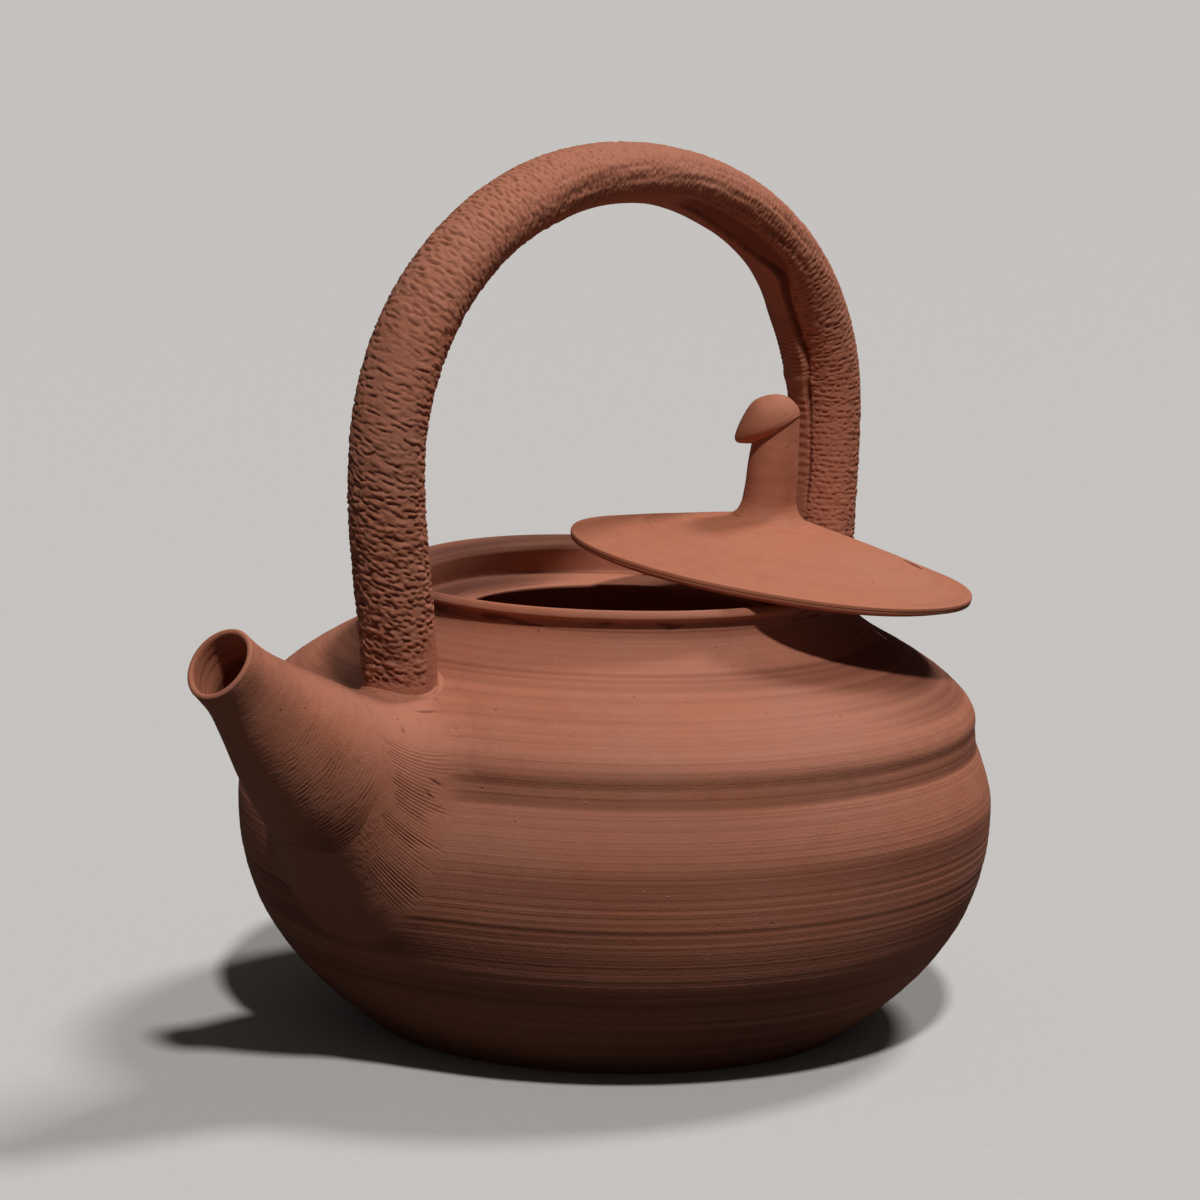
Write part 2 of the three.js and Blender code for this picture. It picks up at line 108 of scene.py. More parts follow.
def sweep(start, start_angle, start_reach, end, end_angle, end_reach):
    """A smooth profile curve that leaves and arrives at given angles."""
    start, end = np.array(start, float), np.array(end, float)
    chord = np.linalg.norm(end - start)
    leave = start + start_reach * chord * np.array([math.cos(start_angle), math.sin(start_angle)])
    arrive = end - end_reach * chord * np.array([math.cos(end_angle), math.sin(end_angle)])
    return bezier((start, leave, arrive, end))


def lengths_along(points):
    return np.r_[0, np.cumsum(np.linalg.norm(np.diff(points, axis=0), axis=1))]


def resample(points, spacing):
    """The same line with evenly spaced points."""
    points = np.array(points, float)
    along = lengths_along(points)
    even = np.linspace(0, along[-1], max(2, int(round(along[-1] / spacing)) + 1))
    return np.stack([np.interp(even, along, column) for column in points.T], 1)


def softened(points, spread):
    """A line of evenly spaced points with its corners eased over a few points."""
    reach = 3 * spread
    weights = np.exp(-((np.arange(-reach, reach + 1) / spread) ** 2) / 2)
    weights /= weights.sum()
    before = 2 * points[0] - points[reach:0:-1]
    after = 2 * points[-1] - points[-2:-reach - 2:-1]
    padded = np.vstack([before, points, after])
    return np.stack([np.convolve(column, weights, "valid") for column in padded.T], 1)


def unit(v):
    return v / np.maximum(np.linalg.norm(v, axis=-1), 1e-9)[..., None]


def outward_of(profile):
    """Unit normals on the right side of a profile."""
    t = unit(np.gradient(profile, axis=0))
    return np.stack([t[:, 1], -t[:, 0]], 1)


def rounded(corners, radii, steps=7):
    """A line through corners, each rounded by its own radius."""
    corners = [np.array(c, float) for c in corners]
    out = [corners[0]]
    for before, corner, after, radius in zip(corners, corners[1:], corners[2:], radii):
        a, b = before - corner, after - corner
        length_a, length_b = np.linalg.norm(a), np.linalg.norm(b)
        a, b = a / length_a, b / length_b
        half = math.acos(float(np.clip(a @ b, -1, 1))) / 2
        cut = min(radius / math.tan(half), length_a * 0.49, length_b * 0.49)
        start, end = corner + a * cut, corner + b * cut
        for t in np.linspace(0, 1, steps):
            out.append((1 - t) ** 2 * start + 2 * t * (1 - t) * corner + t * t * end)
    out.append(corners[-1])
    return np.array(out)


def smooth(x, low, high):
    """0 before low, 1 after high, and smooth between."""
    t = np.clip((x - low) / (high - low), 0, 1)
    return t * t * (3 - 2 * t)


def between(x, low, risen, falling, high):
    """0 outside low and high, 1 from risen to falling, and smooth between."""
    return smooth(x, low, risen) * (1 - smooth(x, falling, high))


def hump(x, centre, width):
    return np.exp(-(((x - centre) / width) ** 2))


# Random relief, seeded, on grids that repeat at their ends

def noise_waves(shape, size, keep, seed):
    """White noise with only the waves that keep lets through; keep gets waves per mm along both sides."""
    rng = np.random.default_rng(seed)
    fu = np.fft.fftfreq(shape[0], size[0] / shape[0])[:, None]
    fv = np.fft.fftfreq(shape[1], size[1] / shape[1])[None, :]
    return np.fft.ifft2(np.fft.fft2(rng.standard_normal(shape)) * keep(fu, fv))


def cloud(shape, size, grain, seed):
    """Soft relief whose lumps are about twice grain long along the two sides."""
    def keep(fu, fv):
        return np.exp(-2 * (math.pi * fu * grain[0]) ** 2 - 2 * (math.pi * fv * grain[1]) ** 2)

    out = noise_waves(shape, size, keep, seed).real
    out -= out.mean()
    return out / out.std()


def clouds(shape, size, *layers):
    """Soft reliefs on top of each other, each given by its height, grain and seed."""
    return sum(height * cloud(shape, size, grain, seed) for height, grain, seed in layers)


def ripples(shape, size, pitch, slant, spread, length, seed):
    """Waves with a pitch along the first side: (phase from 0 to 1, strength about 1).
    Crests are about length long, and slant is how far they climb for each mm across."""
    def keep(fu, fv):
        centre = 1 / pitch
        return np.exp(-(((fu - centre) / (spread * centre)) ** 2) - (((fv + slant * fu) * length * 2.2) ** 2))

    wave = noise_waves(shape, size, keep, seed)
    strength = np.abs(wave)
    return (np.angle(wave) / TURN) % 1, strength / math.sqrt((strength**2).mean())


def scales(shape, size, pitch, slant, spread, length, seed):
    """Overlapping scales as a pressed bark or cloth leaves them: (slope of each scale, slit behind it)."""
    phase, strength = ripples(shape, size, pitch, slant, spread, length, seed)
    rise = (0.5 - phase) * np.clip(strength, 0, 1.6)
    slit = hump(np.minimum(phase, 1 - phase), 0, 0.13) * np.clip(strength - 0.35, 0, 1.4)
    return rise, slit


# Meshes

def new_mesh(name, points, faces):
    """A mesh of points in metres."""
    mesh = bpy.data.meshes.new(name)
    mesh.from_pydata(points.reshape(-1, 3).tolist(), [], faces)
    return mesh


def add_object(name, data):
    made = bpy.data.objects.new(name, data)
    bpy.context.scene.collection.objects.link(made)
    return made


def finish_mesh(name, grid, faces, body, replaced, slot, hollow, lay=None, on_pot=None, creases=()):
    """A smooth-shaded piece that rides on a body. hollow is how deep each point lies in its relief, which the
    clay paints as shade in hollows and as highlight on rises; lay is its place in metres on the unrolled
    clay, and on_pot is how much it belongs to the pot's wall. The rings of the grid that creases names stay
    sharp."""
    mesh = new_mesh(name, grid * MM, faces)
    mesh.polygons.foreach_set("use_smooth", np.ones(len(mesh.polygons), bool))
    attributes = (
        ("hollow", "FLOAT", "value", np.clip(hollow, -4, 4)),
        ("on_pot", "FLOAT", "value", on_pot),
        ("lay", "FLOAT_VECTOR", "vector", lay),
    )
    for attribute_name, kind, field, values in attributes:
        if values is not None:
            attribute = mesh.attributes.new(attribute_name, kind, "POINT")
            attribute.data.foreach_set(field, values.astype(np.float32).ravel())
    if creases:
        creased = np.zeros(grid.shape[:2], bool)
        creased[list(creases)] = True
        ends = np.zeros(2 * len(mesh.edges), np.int32)
        mesh.edges.foreach_get("vertices", ends)
        mesh.edges.foreach_set("use_edge_sharp", creased.ravel()[ends.reshape(-1, 2)].all(1))
    mesh.materials.append(CLAYS[slot])
    mesh.update()
    piece = add_object(name, mesh)
    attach(piece, body)
    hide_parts(*replaced)
    return piece


def grid_faces(rows, columns, closed=False):
    """Faces of a grid whose columns close into rings, and whose rows close too where closed is set. Otherwise
    a many-sided face closes each end. They face out where rows climb anticlockwise rings."""
    index = np.arange(rows * columns).reshape(rows, columns)
    ends = [] if closed else [index[0, ::-1].tolist(), index[-1].tolist()]
    index = np.concatenate([index, index[:, :1]], 1)
    if closed:
        index = np.concatenate([index, index[:1]], 0)
    corners = (index[:-1, :-1], index[:-1, 1:], index[1:, 1:], index[1:, :-1])
    return np.stack(corners, -1).reshape(-1, 4).tolist() + ends


def ring_angles(columns):
    return np.linspace(0, TURN, columns, endpoint=False)


def revolve(profile, columns, relief=0):
    """Points of a profile turned about Z, moved outwards by a relief."""
    phi = ring_angles(columns)
    normal = outward_of(profile)
    r = profile[:, :1] + normal[:, :1] * relief
    z = profile[:, 1:] + normal[:, 1:] * relief
    return np.stack([r * np.cos(phi), r * np.sin(phi), z + 0 * phi], -1)


# Clay

class Nodes:
    """Short ways to add nodes to a material's tree."""

    def __init__(self, material):
        material.use_nodes = True
        self.tree = material.node_tree
        self.shader = self.tree.nodes["Principled BSDF"]

    def put(self, node, inputs):
        """Gives some inputs of a node a value or another node's output. One given None stays as it is."""
        for key, value in inputs.items():
            if isinstance(value, bpy.types.NodeSocket):
                self.tree.links.new(value, node.inputs[key])
            elif value is not None:
                socket = node.inputs[key]
                socket.default_value = (*value, 1) if socket.type == "RGBA" else value

    def add(self, kind, inputs, **settings):
        node = self.tree.nodes.new(kind)
        for key, value in settings.items():
            setattr(node, key, value)
        self.put(node, inputs)
        return node

    def maths(self, operation, a, b=0.0):
        return self.add("ShaderNodeMath", {0: a, 1: b}, operation=operation).outputs[0]

    def vector(self, operation, a, b=None, scale=None):
        node = self.add("ShaderNodeVectorMath", {0: a, 1: b, "Scale": scale}, operation=operation)
        return node.outputs["Value" if operation in ("DOT_PRODUCT", "LENGTH") else "Vector"]

    def noise(self, place, scale, detail=2.0, roughness=0.55):
        inputs = {"Vector": place, "Scale": scale, "Detail": detail, "Roughness": roughness}
        return self.add("ShaderNodeTexNoise", inputs).outputs["Fac"]

    def span(self, value, low, high, to_low, to_high):
        inputs = {"Value": value, "From Min": low, "From Max": high, "To Min": to_low, "To Max": to_high}
        return self.add("ShaderNodeMapRange", inputs).outputs["Result"]

    def mix(self, factor, a, b):
        return self.add("ShaderNodeMix", {0: factor, 6: a, 7: b}, data_type="RGBA").outputs[2]

    def mixed_in(self, color, *shades):
        """A colour with others mixed in. Each is given by a value, where along it the mixing starts and is
        full, how much the full mixing is, and the other colour."""
        for value, start, full, amount, other in shades:
            color = self.mix(self.span(value, start, full, 0, amount), color, other)
        return color

    def bump(self, height, depth, normal=None):
        inputs = {"Height": height, "Distance": depth * MM, "Normal": normal}
        return self.add("ShaderNodeBump", inputs).outputs["Normal"]

    def object_place(self):
        return self.add("ShaderNodeTexCoord", {}).outputs["Object"]

    def attribute(self, name, output):
        return self.add("ShaderNodeAttribute", {}, attribute_name=name).outputs[output]

    def surface(self, color, roughness, specular, normal=None):
        self.put(self.shader, {"Base Color": color, "Roughness": roughness, "Specular IOR Level": specular,
                               "Normal": normal})


def drawn_out(nodes, place, axis, keep):
    """Places squeezed across an axis, so that a noise there makes long marks square to the axis."""
    along = nodes.vector("DOT_PRODUCT", place, tuple(axis))
    along = nodes.maths("MULTIPLY", along, 1 - keep)
    fixed = nodes.add("ShaderNodeCombineXYZ", dict(enumerate(axis)))
    kept = nodes.vector("SCALE", fixed.outputs[0], scale=along)
    return nodes.vector("ADD", kept, nodes.vector("SCALE", place, scale=keep))


def ringed(nodes, place, centre, axis, keep):
    """Places by their distance from an axis, so that a noise there makes rings about it."""
    offset = nodes.vector("SUBTRACT", place, tuple(centre))
    distance = nodes.vector("LENGTH", nodes.vector("CROSS_PRODUCT", offset, tuple(axis)))
    ring = nodes.add("ShaderNodeCombineXYZ", {"Z": distance})
    return nodes.vector("ADD", ring.outputs[0], nodes.vector("SCALE", place, scale=keep))


def shade(tint, *factors):
    return tuple(c * f for c, f in zip(tint, factors))


CLAYS = {}


def clay(slot, tint, lines, specks=1.0, grit=1.0):
    """Unglazed fired clay, kept by its slot. Each set of lines is tool marks: what makes the places in which
    a noise gives them, their pitch in mm, their strength, and their shares off the pot's wall and on it."""
    material = bpy.data.materials.new(slot)
    CLAYS[slot] = material
    nodes = Nodes(material)
    place = nodes.object_place()
    # light and dark vary the tone; deep is painted shade and also the dark pits' colour, and light is also
    # painted highlight
    light, dark = shade(tint, 1.16, 1.22, 1.28), shade(tint, 0.78, 0.70, 0.64)
    rust, deep = shade(tint, 1.04, 0.90, 0.76), shade(tint, 0.48, 0.38, 0.34)

    blotch = nodes.noise(place, 36, 3, 0.6)
    mottle = nodes.noise(place, 260, 3, 0.6)
    grain = nodes.noise(place, 2100, 2, 0.6)
    color = nodes.mixed_in(
        tint, (blotch, 0.36, 0.66, 0.80, rust), (mottle, 0.50, 0.74, 0.30, light),
        (mottle, 0.48, 0.26, 0.30, dark), (grain, 0.56, 0.78, 0.38 * grit, light),
        (grain, 0.44, 0.22, 0.48 * grit, dark))
    surface = nodes.bump(grain, 0.075 * grit)
    surface = nodes.bump(mottle, 0.10, surface)

    for make_places, pitch, strength, shares in lines:
        share = nodes.span(nodes.attribute("on_pot", "Fac"), 0, 1, *shares)
        marks = make_places(nodes, place)
        fine = nodes.noise(marks, 1000 / pitch, 2, 0.6)
        broad = nodes.noise(marks, 1000 / (5 * pitch), 2, 0.5)
        shades = ((fine, 0.52, 0.72, 0.30, light), (fine, 0.48, 0.28, 0.34, dark),
                  (broad, 0.48, 0.28, 0.12, dark))
        for value, start, full, amount, other in shades:
            part = nodes.maths("MULTIPLY", nodes.span(value, start, full, 0, amount * strength), share)
            color = nodes.mix(part, color, other)
        surface = nodes.bump(nodes.maths("MULTIPLY", fine, share), 0.13 * strength, surface)
        surface = nodes.bump(nodes.maths("MULTIPLY", broad, share), 0.09 * strength, surface)

    # a few cells have a dark pit in their middle, and a few others a pale fleck
    cells = nodes.add("ShaderNodeTexVoronoi", {"Vector": place, "Scale": 620})
    chance = nodes.add("ShaderNodeSeparateColor", {0: cells.outputs["Color"]}).outputs[0]
    dot = nodes.span(cells.outputs["Distance"], 0.07, 0.17, 1, 0)
    pit = nodes.maths("MULTIPLY", dot, nodes.maths("GREATER_THAN", chance, 1 - 0.030 * specks))
    fleck = nodes.maths("MULTIPLY", dot, nodes.maths("LESS_THAN", chance, 0.022 * specks))
    # painted shade: the hollow attribute mixes deep into hollows, cracks and shaded zones; painted highlight:
    # it mixes light onto rises
    hollow = nodes.attribute("hollow", "Fac")
    color = nodes.mixed_in(color, (hollow, -0.3, -2.4, 0.85, deep), (hollow, 0.4, 2.2, 0.40, light))
    color = nodes.mix(nodes.maths("MULTIPLY", pit, 0.7), color, deep)
    color = nodes.mix(nodes.maths("MULTIPLY", fleck, 0.5), color, FLECK_COLOR)
    surface = nodes.bump(nodes.maths("SUBTRACT", fleck, pit), 0.10, surface)

    nodes.surface(color, nodes.span(mottle, 0.3, 0.7, 0.70, 0.84), 0.3, surface)


# Where things are

SPOUT_AXIS = np.array([math.cos(SPOUT_SLOPE), 0, -math.sin(SPOUT_SLOPE)])
SPOUT_UP = np.array([math.sin(SPOUT_SLOPE), 0, math.cos(SPOUT_SLOPE)])
SIDEWAYS = np.array([0, 1.0, 0])


def vessel_outline():
    """The outside of the pot from its base to its neck."""
    parts = [
        sweep((BASE_R, 0), BASE_FLARE, 0.33, (BELLY_R, BELLY_Z), 90 * DEG, 0.44),
        sweep((BELLY_R, BELLY_Z), 90 * DEG, 0.36, (KINK_R, KINK_Z), 105 * DEG, 0.30),
        sweep((KINK_R, KINK_Z), 93 * DEG, 0.33, (BAND_R, BAND_Z), 91 * DEG, 0.33),
        sweep((BAND_R, BAND_Z), 103 * DEG, 0.24, (SHOULDER_R, SHOULDER_Z), math.pi - SHOULDER_SLOPE, 0.41),
        sweep((SHOULDER_R, SHOULDER_Z), math.pi - SHOULDER_SLOPE, 0.36, (NECK_R, NECK_Z), 98 * DEG, 0.29),
    ]
    return softened(resample(np.vstack(parts), 0.32), 1)


VESSEL = vessel_outline()
VESSEL_CALM = softened(VESSEL, 5)


def vessel_radius(z):
    return np.interp(z, VESSEL_CALM[:, 1], VESSEL_CALM[:, 0])


SPOUT_ROOT = np.array([-float(vessel_radius(SPOUT_ROOT_Z)), 0, SPOUT_ROOT_Z])
SPOUT_TIP = SPOUT_ROOT - SPOUT_REACH * SPOUT_AXIS
SPOUT_OUTLINE = bezier([
    (0, SPOUT_TIP_R), (0.22 * SPOUT_LENGTH, SPOUT_TIP_R), (0.42 * SPOUT_LENGTH, SPOUT_ROOT_R),
    (SPOUT_LENGTH, SPOUT_ROOT_R),
])


def spout_radius(a):
    return np.interp(a, SPOUT_OUTLINE[:, 0], SPOUT_OUTLINE[:, 1])


def spout_place(turn, along, off):
    """A point beside the spout's axis. Turn 0 is above it, and a quarter turn is towards -Y."""
    up, aside = off * np.cos(turn), off * np.sin(turn)
    on_axis = SPOUT_TIP + along[..., None] * SPOUT_AXIS
    return on_axis + up[..., None] * SPOUT_UP - aside[..., None] * SIDEWAYS


def handle_line():
    """The middle of the handle from its front foot to its rear foot, as (x, z)."""
    rise = (ARCH_SPRING - HANDLE_FOOT_Z) / 3

    straight = ARCH_SPRING + ARCH_ROUND * (ARCH_TOP - ARCH_SPRING)

    def half(side, bow):
        foot, spring = side * FOOT_X, side * (FOOT_X + bow)
        shoulder = ARCH_ROUND * (spring + ARCH_LEAN) - ARCH_LEAN
        leg = [(foot, HANDLE_FOOT_Z), (foot, HANDLE_FOOT_Z + rise), (spring, ARCH_SPRING - rise),
               (spring, ARCH_SPRING)]
        bend = [(spring, ARCH_SPRING), (spring, straight), (shoulder, ARCH_TOP), (-ARCH_LEAN, ARCH_TOP)]
        return [leg, bend]

    parts = half(-1, FRONT_BOW) + [part[::-1] for part in half(1, REAR_BOW)[::-1]]
    return np.vstack([bezier(parts[0])] + [bezier(part)[1:] for part in parts[1:]])


HANDLE_LINE = handle_line()


def leg_x(z, side):
    line = HANDLE_LINE[HANDLE_LINE[:, 0] * side > 30]
    order = np.argsort(line[:, 1])
    return np.interp(z, line[order, 1], line[order, 0])


# Shapes given by their distance, and clay worked into the corners between them

def round_distance(off, radius, at):
    """How far points off an axis are from a shape that is round about it."""
    slope = (radius(at + 0.3) - radius(at - 0.3)) / 0.6
    return (off - radius(at)) / np.sqrt(1 + slope**2)


def vessel_distance(p):
    return round_distance(np.hypot(p[..., 0], p[..., 1]), vessel_radius, np.clip(p[..., 2], 0, NECK_Z))


def from_axis(p, start, axis):
    """How far points are along an axis, and how far off it."""
    d = p - start
    along = d @ axis
    return along, np.linalg.norm(d - along[..., None] * axis, axis=-1)


def spout_distance(p):
    along, off = from_axis(p, SPOUT_TIP, SPOUT_AXIS)
    return round_distance(off, spout_radius, along)


def leg_distance(p, side):
    u, v = (p[..., 0] - leg_x(p[..., 2], side)) / (HANDLE_D / 2), p[..., 1] / (HANDLE_W / 2)
    k = np.sqrt(u * u + v * v) + 1e-9
    grow = np.sqrt((u / (HANDLE_D / 2)) ** 2 + (v / (HANDLE_W / 2)) ** 2) + 1e-9
    return (k - 1) * k / grow


def blended(a, b, width):
    h = np.clip(width - np.abs(a - b), 0, None) / width
    return np.minimum(a, b) - h * h * width / 4


def slopes(shape, points, step=0.03):
    """How a shape's distance grows along X, Y and Z."""
    steps = step * np.eye(3)
    return np.stack([(shape(points + e) - shape(points - e)) / (2 * step) for e in steps], -1)


def settle(points, shape, steps=8):
    """Points moved onto a shape, and its normals there."""
    for _ in range(steps):
        grow = slopes(shape, points)
        move = shape(points) / np.maximum((grow**2).sum(-1), 0.05)
        points = points - np.clip(move, -2, 2)[..., None] * grow
    return points, unit(slopes(shape, points))


# Halvings of the stretch of a tube in which it enters its host
HALVINGS = 36


def worked_corner(tube, low, high, turns, host, shape, width, rows):
    """A grid over the corner between a tube and its host, with row 0 on the tube and the last on the host.
    Also its normals, how far each point is along the tube and past the corner, how long the corner is, where
    the tube's free part ends, and a row buried under the corner that closes the ring of clay."""
    low, high = np.full(turns.shape, float(low)), np.full(turns.shape, float(high))
    for _ in range(HALVINGS):
        middle = (low + high) / 2
        inside = host(tube(turns, middle)) < 0
        high, low = np.where(inside, middle, high), np.where(inside, low, middle)
    seam = tube(turns, low)
    up_tube = unit(tube(turns, low - 0.5) - seam)
    host_normal = unit(slopes(host, seam))
    ring = unit(np.roll(seam, -1, 0) - np.roll(seam, 1, 0))
    over = np.cross(ring, host_normal)
    over *= np.sign((over * (seam - seam.mean(0))).sum(-1))[:, None]
    opening = np.arccos(np.clip((up_tube * over).sum(-1), -1, 1))
    reach = np.minimum(width * 1.04 / np.sin(opening), 1.9 * width)
    t = np.linspace(0, 1, rows)[:, None]
    start, end = seam + up_tube * reach[:, None], seam + over * reach[:, None]
    mix = t[..., None]
    guide = (1 - mix) ** 2 * start + 2 * mix * (1 - mix) * seam + mix * mix * end
    points, normal = settle(guide, shape)
    run = np.r_[np.zeros((1, len(turns))), np.cumsum(np.linalg.norm(np.diff(points, axis=0), axis=-1), 0)]
    middle_row = run[rows // 2]
    past = run - middle_row
    along = np.where(past < 0, low + past * reach / middle_row, low + past)
    whole = lengths_along(np.vstack([seam, seam[:1]]))[-1]
    depth = 0.25 * reach + 1.0
    buried = seam - unit(up_tube + over) * depth[:, None]
    return dict(points=points, normal=normal, past=past, along=along, whole=whole, buried=buried,
                start=low - reach, t=t)


def covered(corner, relief):
    """A corner's grid with its relief, and the buried row."""
    return np.concatenate([corner["points"] + corner["normal"] * relief[..., None], corner["buried"][None]])


def front_shape(p):
    return blended(vessel_distance(p), spout_distance(p), SPOUT_BLEND)


# Belly and shoulder

VESSEL_COLUMNS = 300

# Grooves round the waist, as (height, depth, half width)
WAIST_GROOVES = ((WAIST_TOP, 0.05, 0.30), (60.1, 0.06, 0.26), (59.0, 0.04, 0.24), (58.0, 0.05, 0.26),
                 (56.4, 0.05, 0.30))


def thrown_relief():
    """Marks of throwing on the whole outside: rings of many widths, and the waist that a tool pressed in.
    Also the painted shade in their hollows and across the waist band, and the painted highlight on their
    rises."""
    z = VESSEL[:, 1:]
    shape, size = (len(VESSEL), VESSEL_COLUMNS), (lengths_along(VESSEL)[-1], TURN * 65)
    relief = clouds(shape, size, (0.012, (0.28, 150), 11), (0.014, (0.55, 190), 12),
                    (0.026, (2.4, 400), 13), (0.035, (7, 20), 14))
    phase, strength = ripples(shape, size, 1.5, 0, 0.25, 120, 15)
    relief += 0.022 * between(z, 24, 31, 40, 44) * np.cos(TURN * phase) * strength
    waist = between(z, WAIST_LOW - 0.8, WAIST_LOW + 1.4, WAIST_TOP - 0.7, WAIST_TOP + 0.2)
    relief += 0.014 * waist * cloud(shape, size, (0.4, 200), 16)
    for height, depth, width in WAIST_GROOVES:
        relief -= depth * hump(z, height, width)
    # painted shade in the grooves and over the waist band, painted highlight on the ridges
    hollow = relief / 0.05 - 0.2 - 1.2 * waist
    relief = relief - 0.05 - 0.20 * waist
    relief = np.minimum(relief, BELLY_R - VESSEL[:, :1])
    ground = smooth(z, 0, 1.2)
    return relief * ground, hollow * ground


def sampled(grid, row, column):
    """Values between the points of a grid whose columns close into rings."""
    row = np.clip(row, 0, grid.shape[0] - 1.001)
    column = column % grid.shape[1]
    r0, c0 = row.astype(int), column.astype(int) % grid.shape[1]
    fr, fc = row - r0, column - np.floor(column)
    c1 = (c0 + 1) % grid.shape[1]
    low = grid[r0, c0] * (1 - fc) + grid[r0, c1] * fc
    high = grid[r0 + 1, c0] * (1 - fc) + grid[r0 + 1, c1] * fc
    return low * (1 - fr) + high * fr


THROWN, THROWN_PAINTED_SHADE = thrown_relief()


def on_vessel(grid, points):
    """Values of a grid on the pot's outside at points near it."""
    row = np.interp(points[..., 2], VESSEL[:, 1], np.arange(len(VESSEL)))
    column = np.arctan2(points[..., 1], points[..., 0]) / TURN * VESSEL_COLUMNS
    return sampled(grid, row, column)


def in_spout_hole(points):
    off = from_axis(points, SPOUT_TIP, SPOUT_AXIS)[1]
    return (off < SPOUT_HOLE_R) & (points[..., 0] < 0)


INNER_STEP = 1.8


def inner_wall(outer, wall):
    """The inside of a thrown wall, from its top down."""
    return resample((outer - outward_of(outer) * wall[:, None])[::-1], INNER_STEP)


def vessel_piece(name, node, first, last, wall_low, wall_high, seed, floor):
    """A part of the pot's wall, outside and inside, with the pot's floor where floor is set."""
    outer, relief = VESSEL[first:last], THROWN[first:last]
    inner = inner_wall(outer, np.linspace(wall_low, wall_high, len(outer)))
    if floor:
        inner = inner[inner[:, 1] > FLOOR + 2]
        corner = (inner[-1, 0] - 3.0, FLOOR)
        bottom = rounded([inner[-1], corner, (4.0, FLOOR)], [3.0])
        inner = resample(np.vstack([inner, bottom[1:]]), INNER_STEP)
    finger = 0.18 * cloud((len(inner), VESSEL_COLUMNS), (len(inner) * INNER_STEP, 400), (1.7, 120), seed)
    finger *= smooth(inner[:, :1], 4, 14)
    grids = [revolve(outer, VESSEL_COLUMNS, relief), revolve(inner, VESSEL_COLUMNS, finger)]
    # painted shade and highlight from the throwing marks outside and the finger marks inside
    hollow = [THROWN_PAINTED_SHADE[first:last], finger]
    edges = [0, len(outer) - 1]
    if floor:
        under = resample([(3.0, 0.0), (BASE_R - 1.0, 0.0)], 2.5)
        grids.insert(0, revolve(under, VESSEL_COLUMNS))
        hollow.insert(0, np.zeros((len(under), VESSEL_COLUMNS)))
        edges = [len(under) + len(outer) - 1]
    grid = np.concatenate(grids)
    cut = in_spout_hole(grid).ravel()
    faces = [f for f in grid_faces(len(grid), VESSEL_COLUMNS, not floor) if not all(cut[i] for i in f)]
    finish_mesh(name, grid, faces, "pot", [node], "body_clay", np.concatenate(hollow), creases=edges)


def make_vessel():
    seam = int(np.searchsorted(VESSEL[:, 1], SEAM_Z))
    vessel_piece("belly_clay", "belly", 0, seam + 1, WALL, WALL, 21, True)
    vessel_piece("shoulder_clay", "shoulder", seam, len(VESSEL), WALL, NECK_WALL, 22, False)


# Collar

def make_collar():
    ledge = SEAT_Z - 1
    corners = [
        (MOUTH_R + 5, ledge - 3), (PLUG_R, ledge - 3), (PLUG_R, NECK_Z - 0.6), (NECK_R + 0.05, NECK_Z - 0.5),
        (NECK_R - 0.2, RIM_Z - 2.5), (RIM_R, RIM_Z - 1.7), (RIM_R - 0.8, RIM_Z - 0.02),
        (RIM_R - 5.5, RIM_Z - 1.7), (SEAT_R + 0.1, RIM_Z - 2.6), (SEAT_R, SEAT_Z), (MOUTH_R, ledge),
        (MOUTH_R + 0.4, ledge - 0.9), (MOUTH_R + 5, ledge - 3),
    ]
    radii = [0.5, 0.1, 0.1, 0.4, 0.55, 0.8, 0.5, 0.4, 0.45, 0.35, 0.3]
    profile = resample(rounded(corners, radii), 0.30)[:-1]
    columns = 400
    shape, size = (len(profile), columns), (lengths_along(profile)[-1], TURN * 44)
    relief = clouds(shape, size, (0.012, (0.35, 60), 51), (0.045, (1.8, 12), 52), (0.03, (6, 30), 53))
    # the joint under the lip is torn here and there
    outside = (profile[:, 0] > SEAT_R + 2) & (profile[:, 1] > NECK_Z - 1)
    under = hump(profile[:, 1:], NECK_Z + 0.6, 0.8) * outside[:, None]
    tears = np.clip(cloud(shape, size, (0.40, 1.6), 54) - 0.7, 0, 2)
    relief -= 0.25 * under * tears
    relief = np.minimum(relief, 0.03)
    points = revolve(profile, columns, relief)
    # the rim isn't quite level, and its far side stands highest
    phi = ring_angles(columns)
    lift = RIM_LIFT * hump(phi, RIM_LIFT_AT, RIM_LIFT_WIDTH) + 0.03 * np.sin(5 * phi) - 0.03
    points[..., 2] += lift * smooth(points[..., 2], SEAT_Z - 2, RIM_Z - 1)
    # painted shade under the lip and deeper in its tears, with painted shade and highlight on the relief
    hollow = relief / 0.05 - 0.3 * under - 1.6 * under * tears
    faces = grid_faces(len(profile), columns, True)
    finish_mesh("collar_clay", points, faces, "pot", ["collar"], "collar_clay", hollow)


# Spout and the clay worked round its root

SPOUT_COLUMNS, FINER = 256, 4
ROOT_COLUMNS = FINER * SPOUT_COLUMNS
SKIN_STEP = 0.15
LIP_FLARE, LIP_REACH = 0.34, 0.35

# Single cracks in the clay round the root: degrees from its top, mm past the corner, half length
# round it and across it
NICKS = ((33, 2.4, 0.25, 1.7), (19, 5.8, 1.8, 0.22), (50, -3.5, 0.9, 0.22), (76, 0.6, 0.22, 1.0),
         (83, -0.6, 0.22, 0.8), (12, -4.0, 0.8, 0.20))


def from_top(turns):
    """Degrees from the spout's upper side, on either side."""
    return np.abs((turns + math.pi) % TURN - math.pi) / DEG


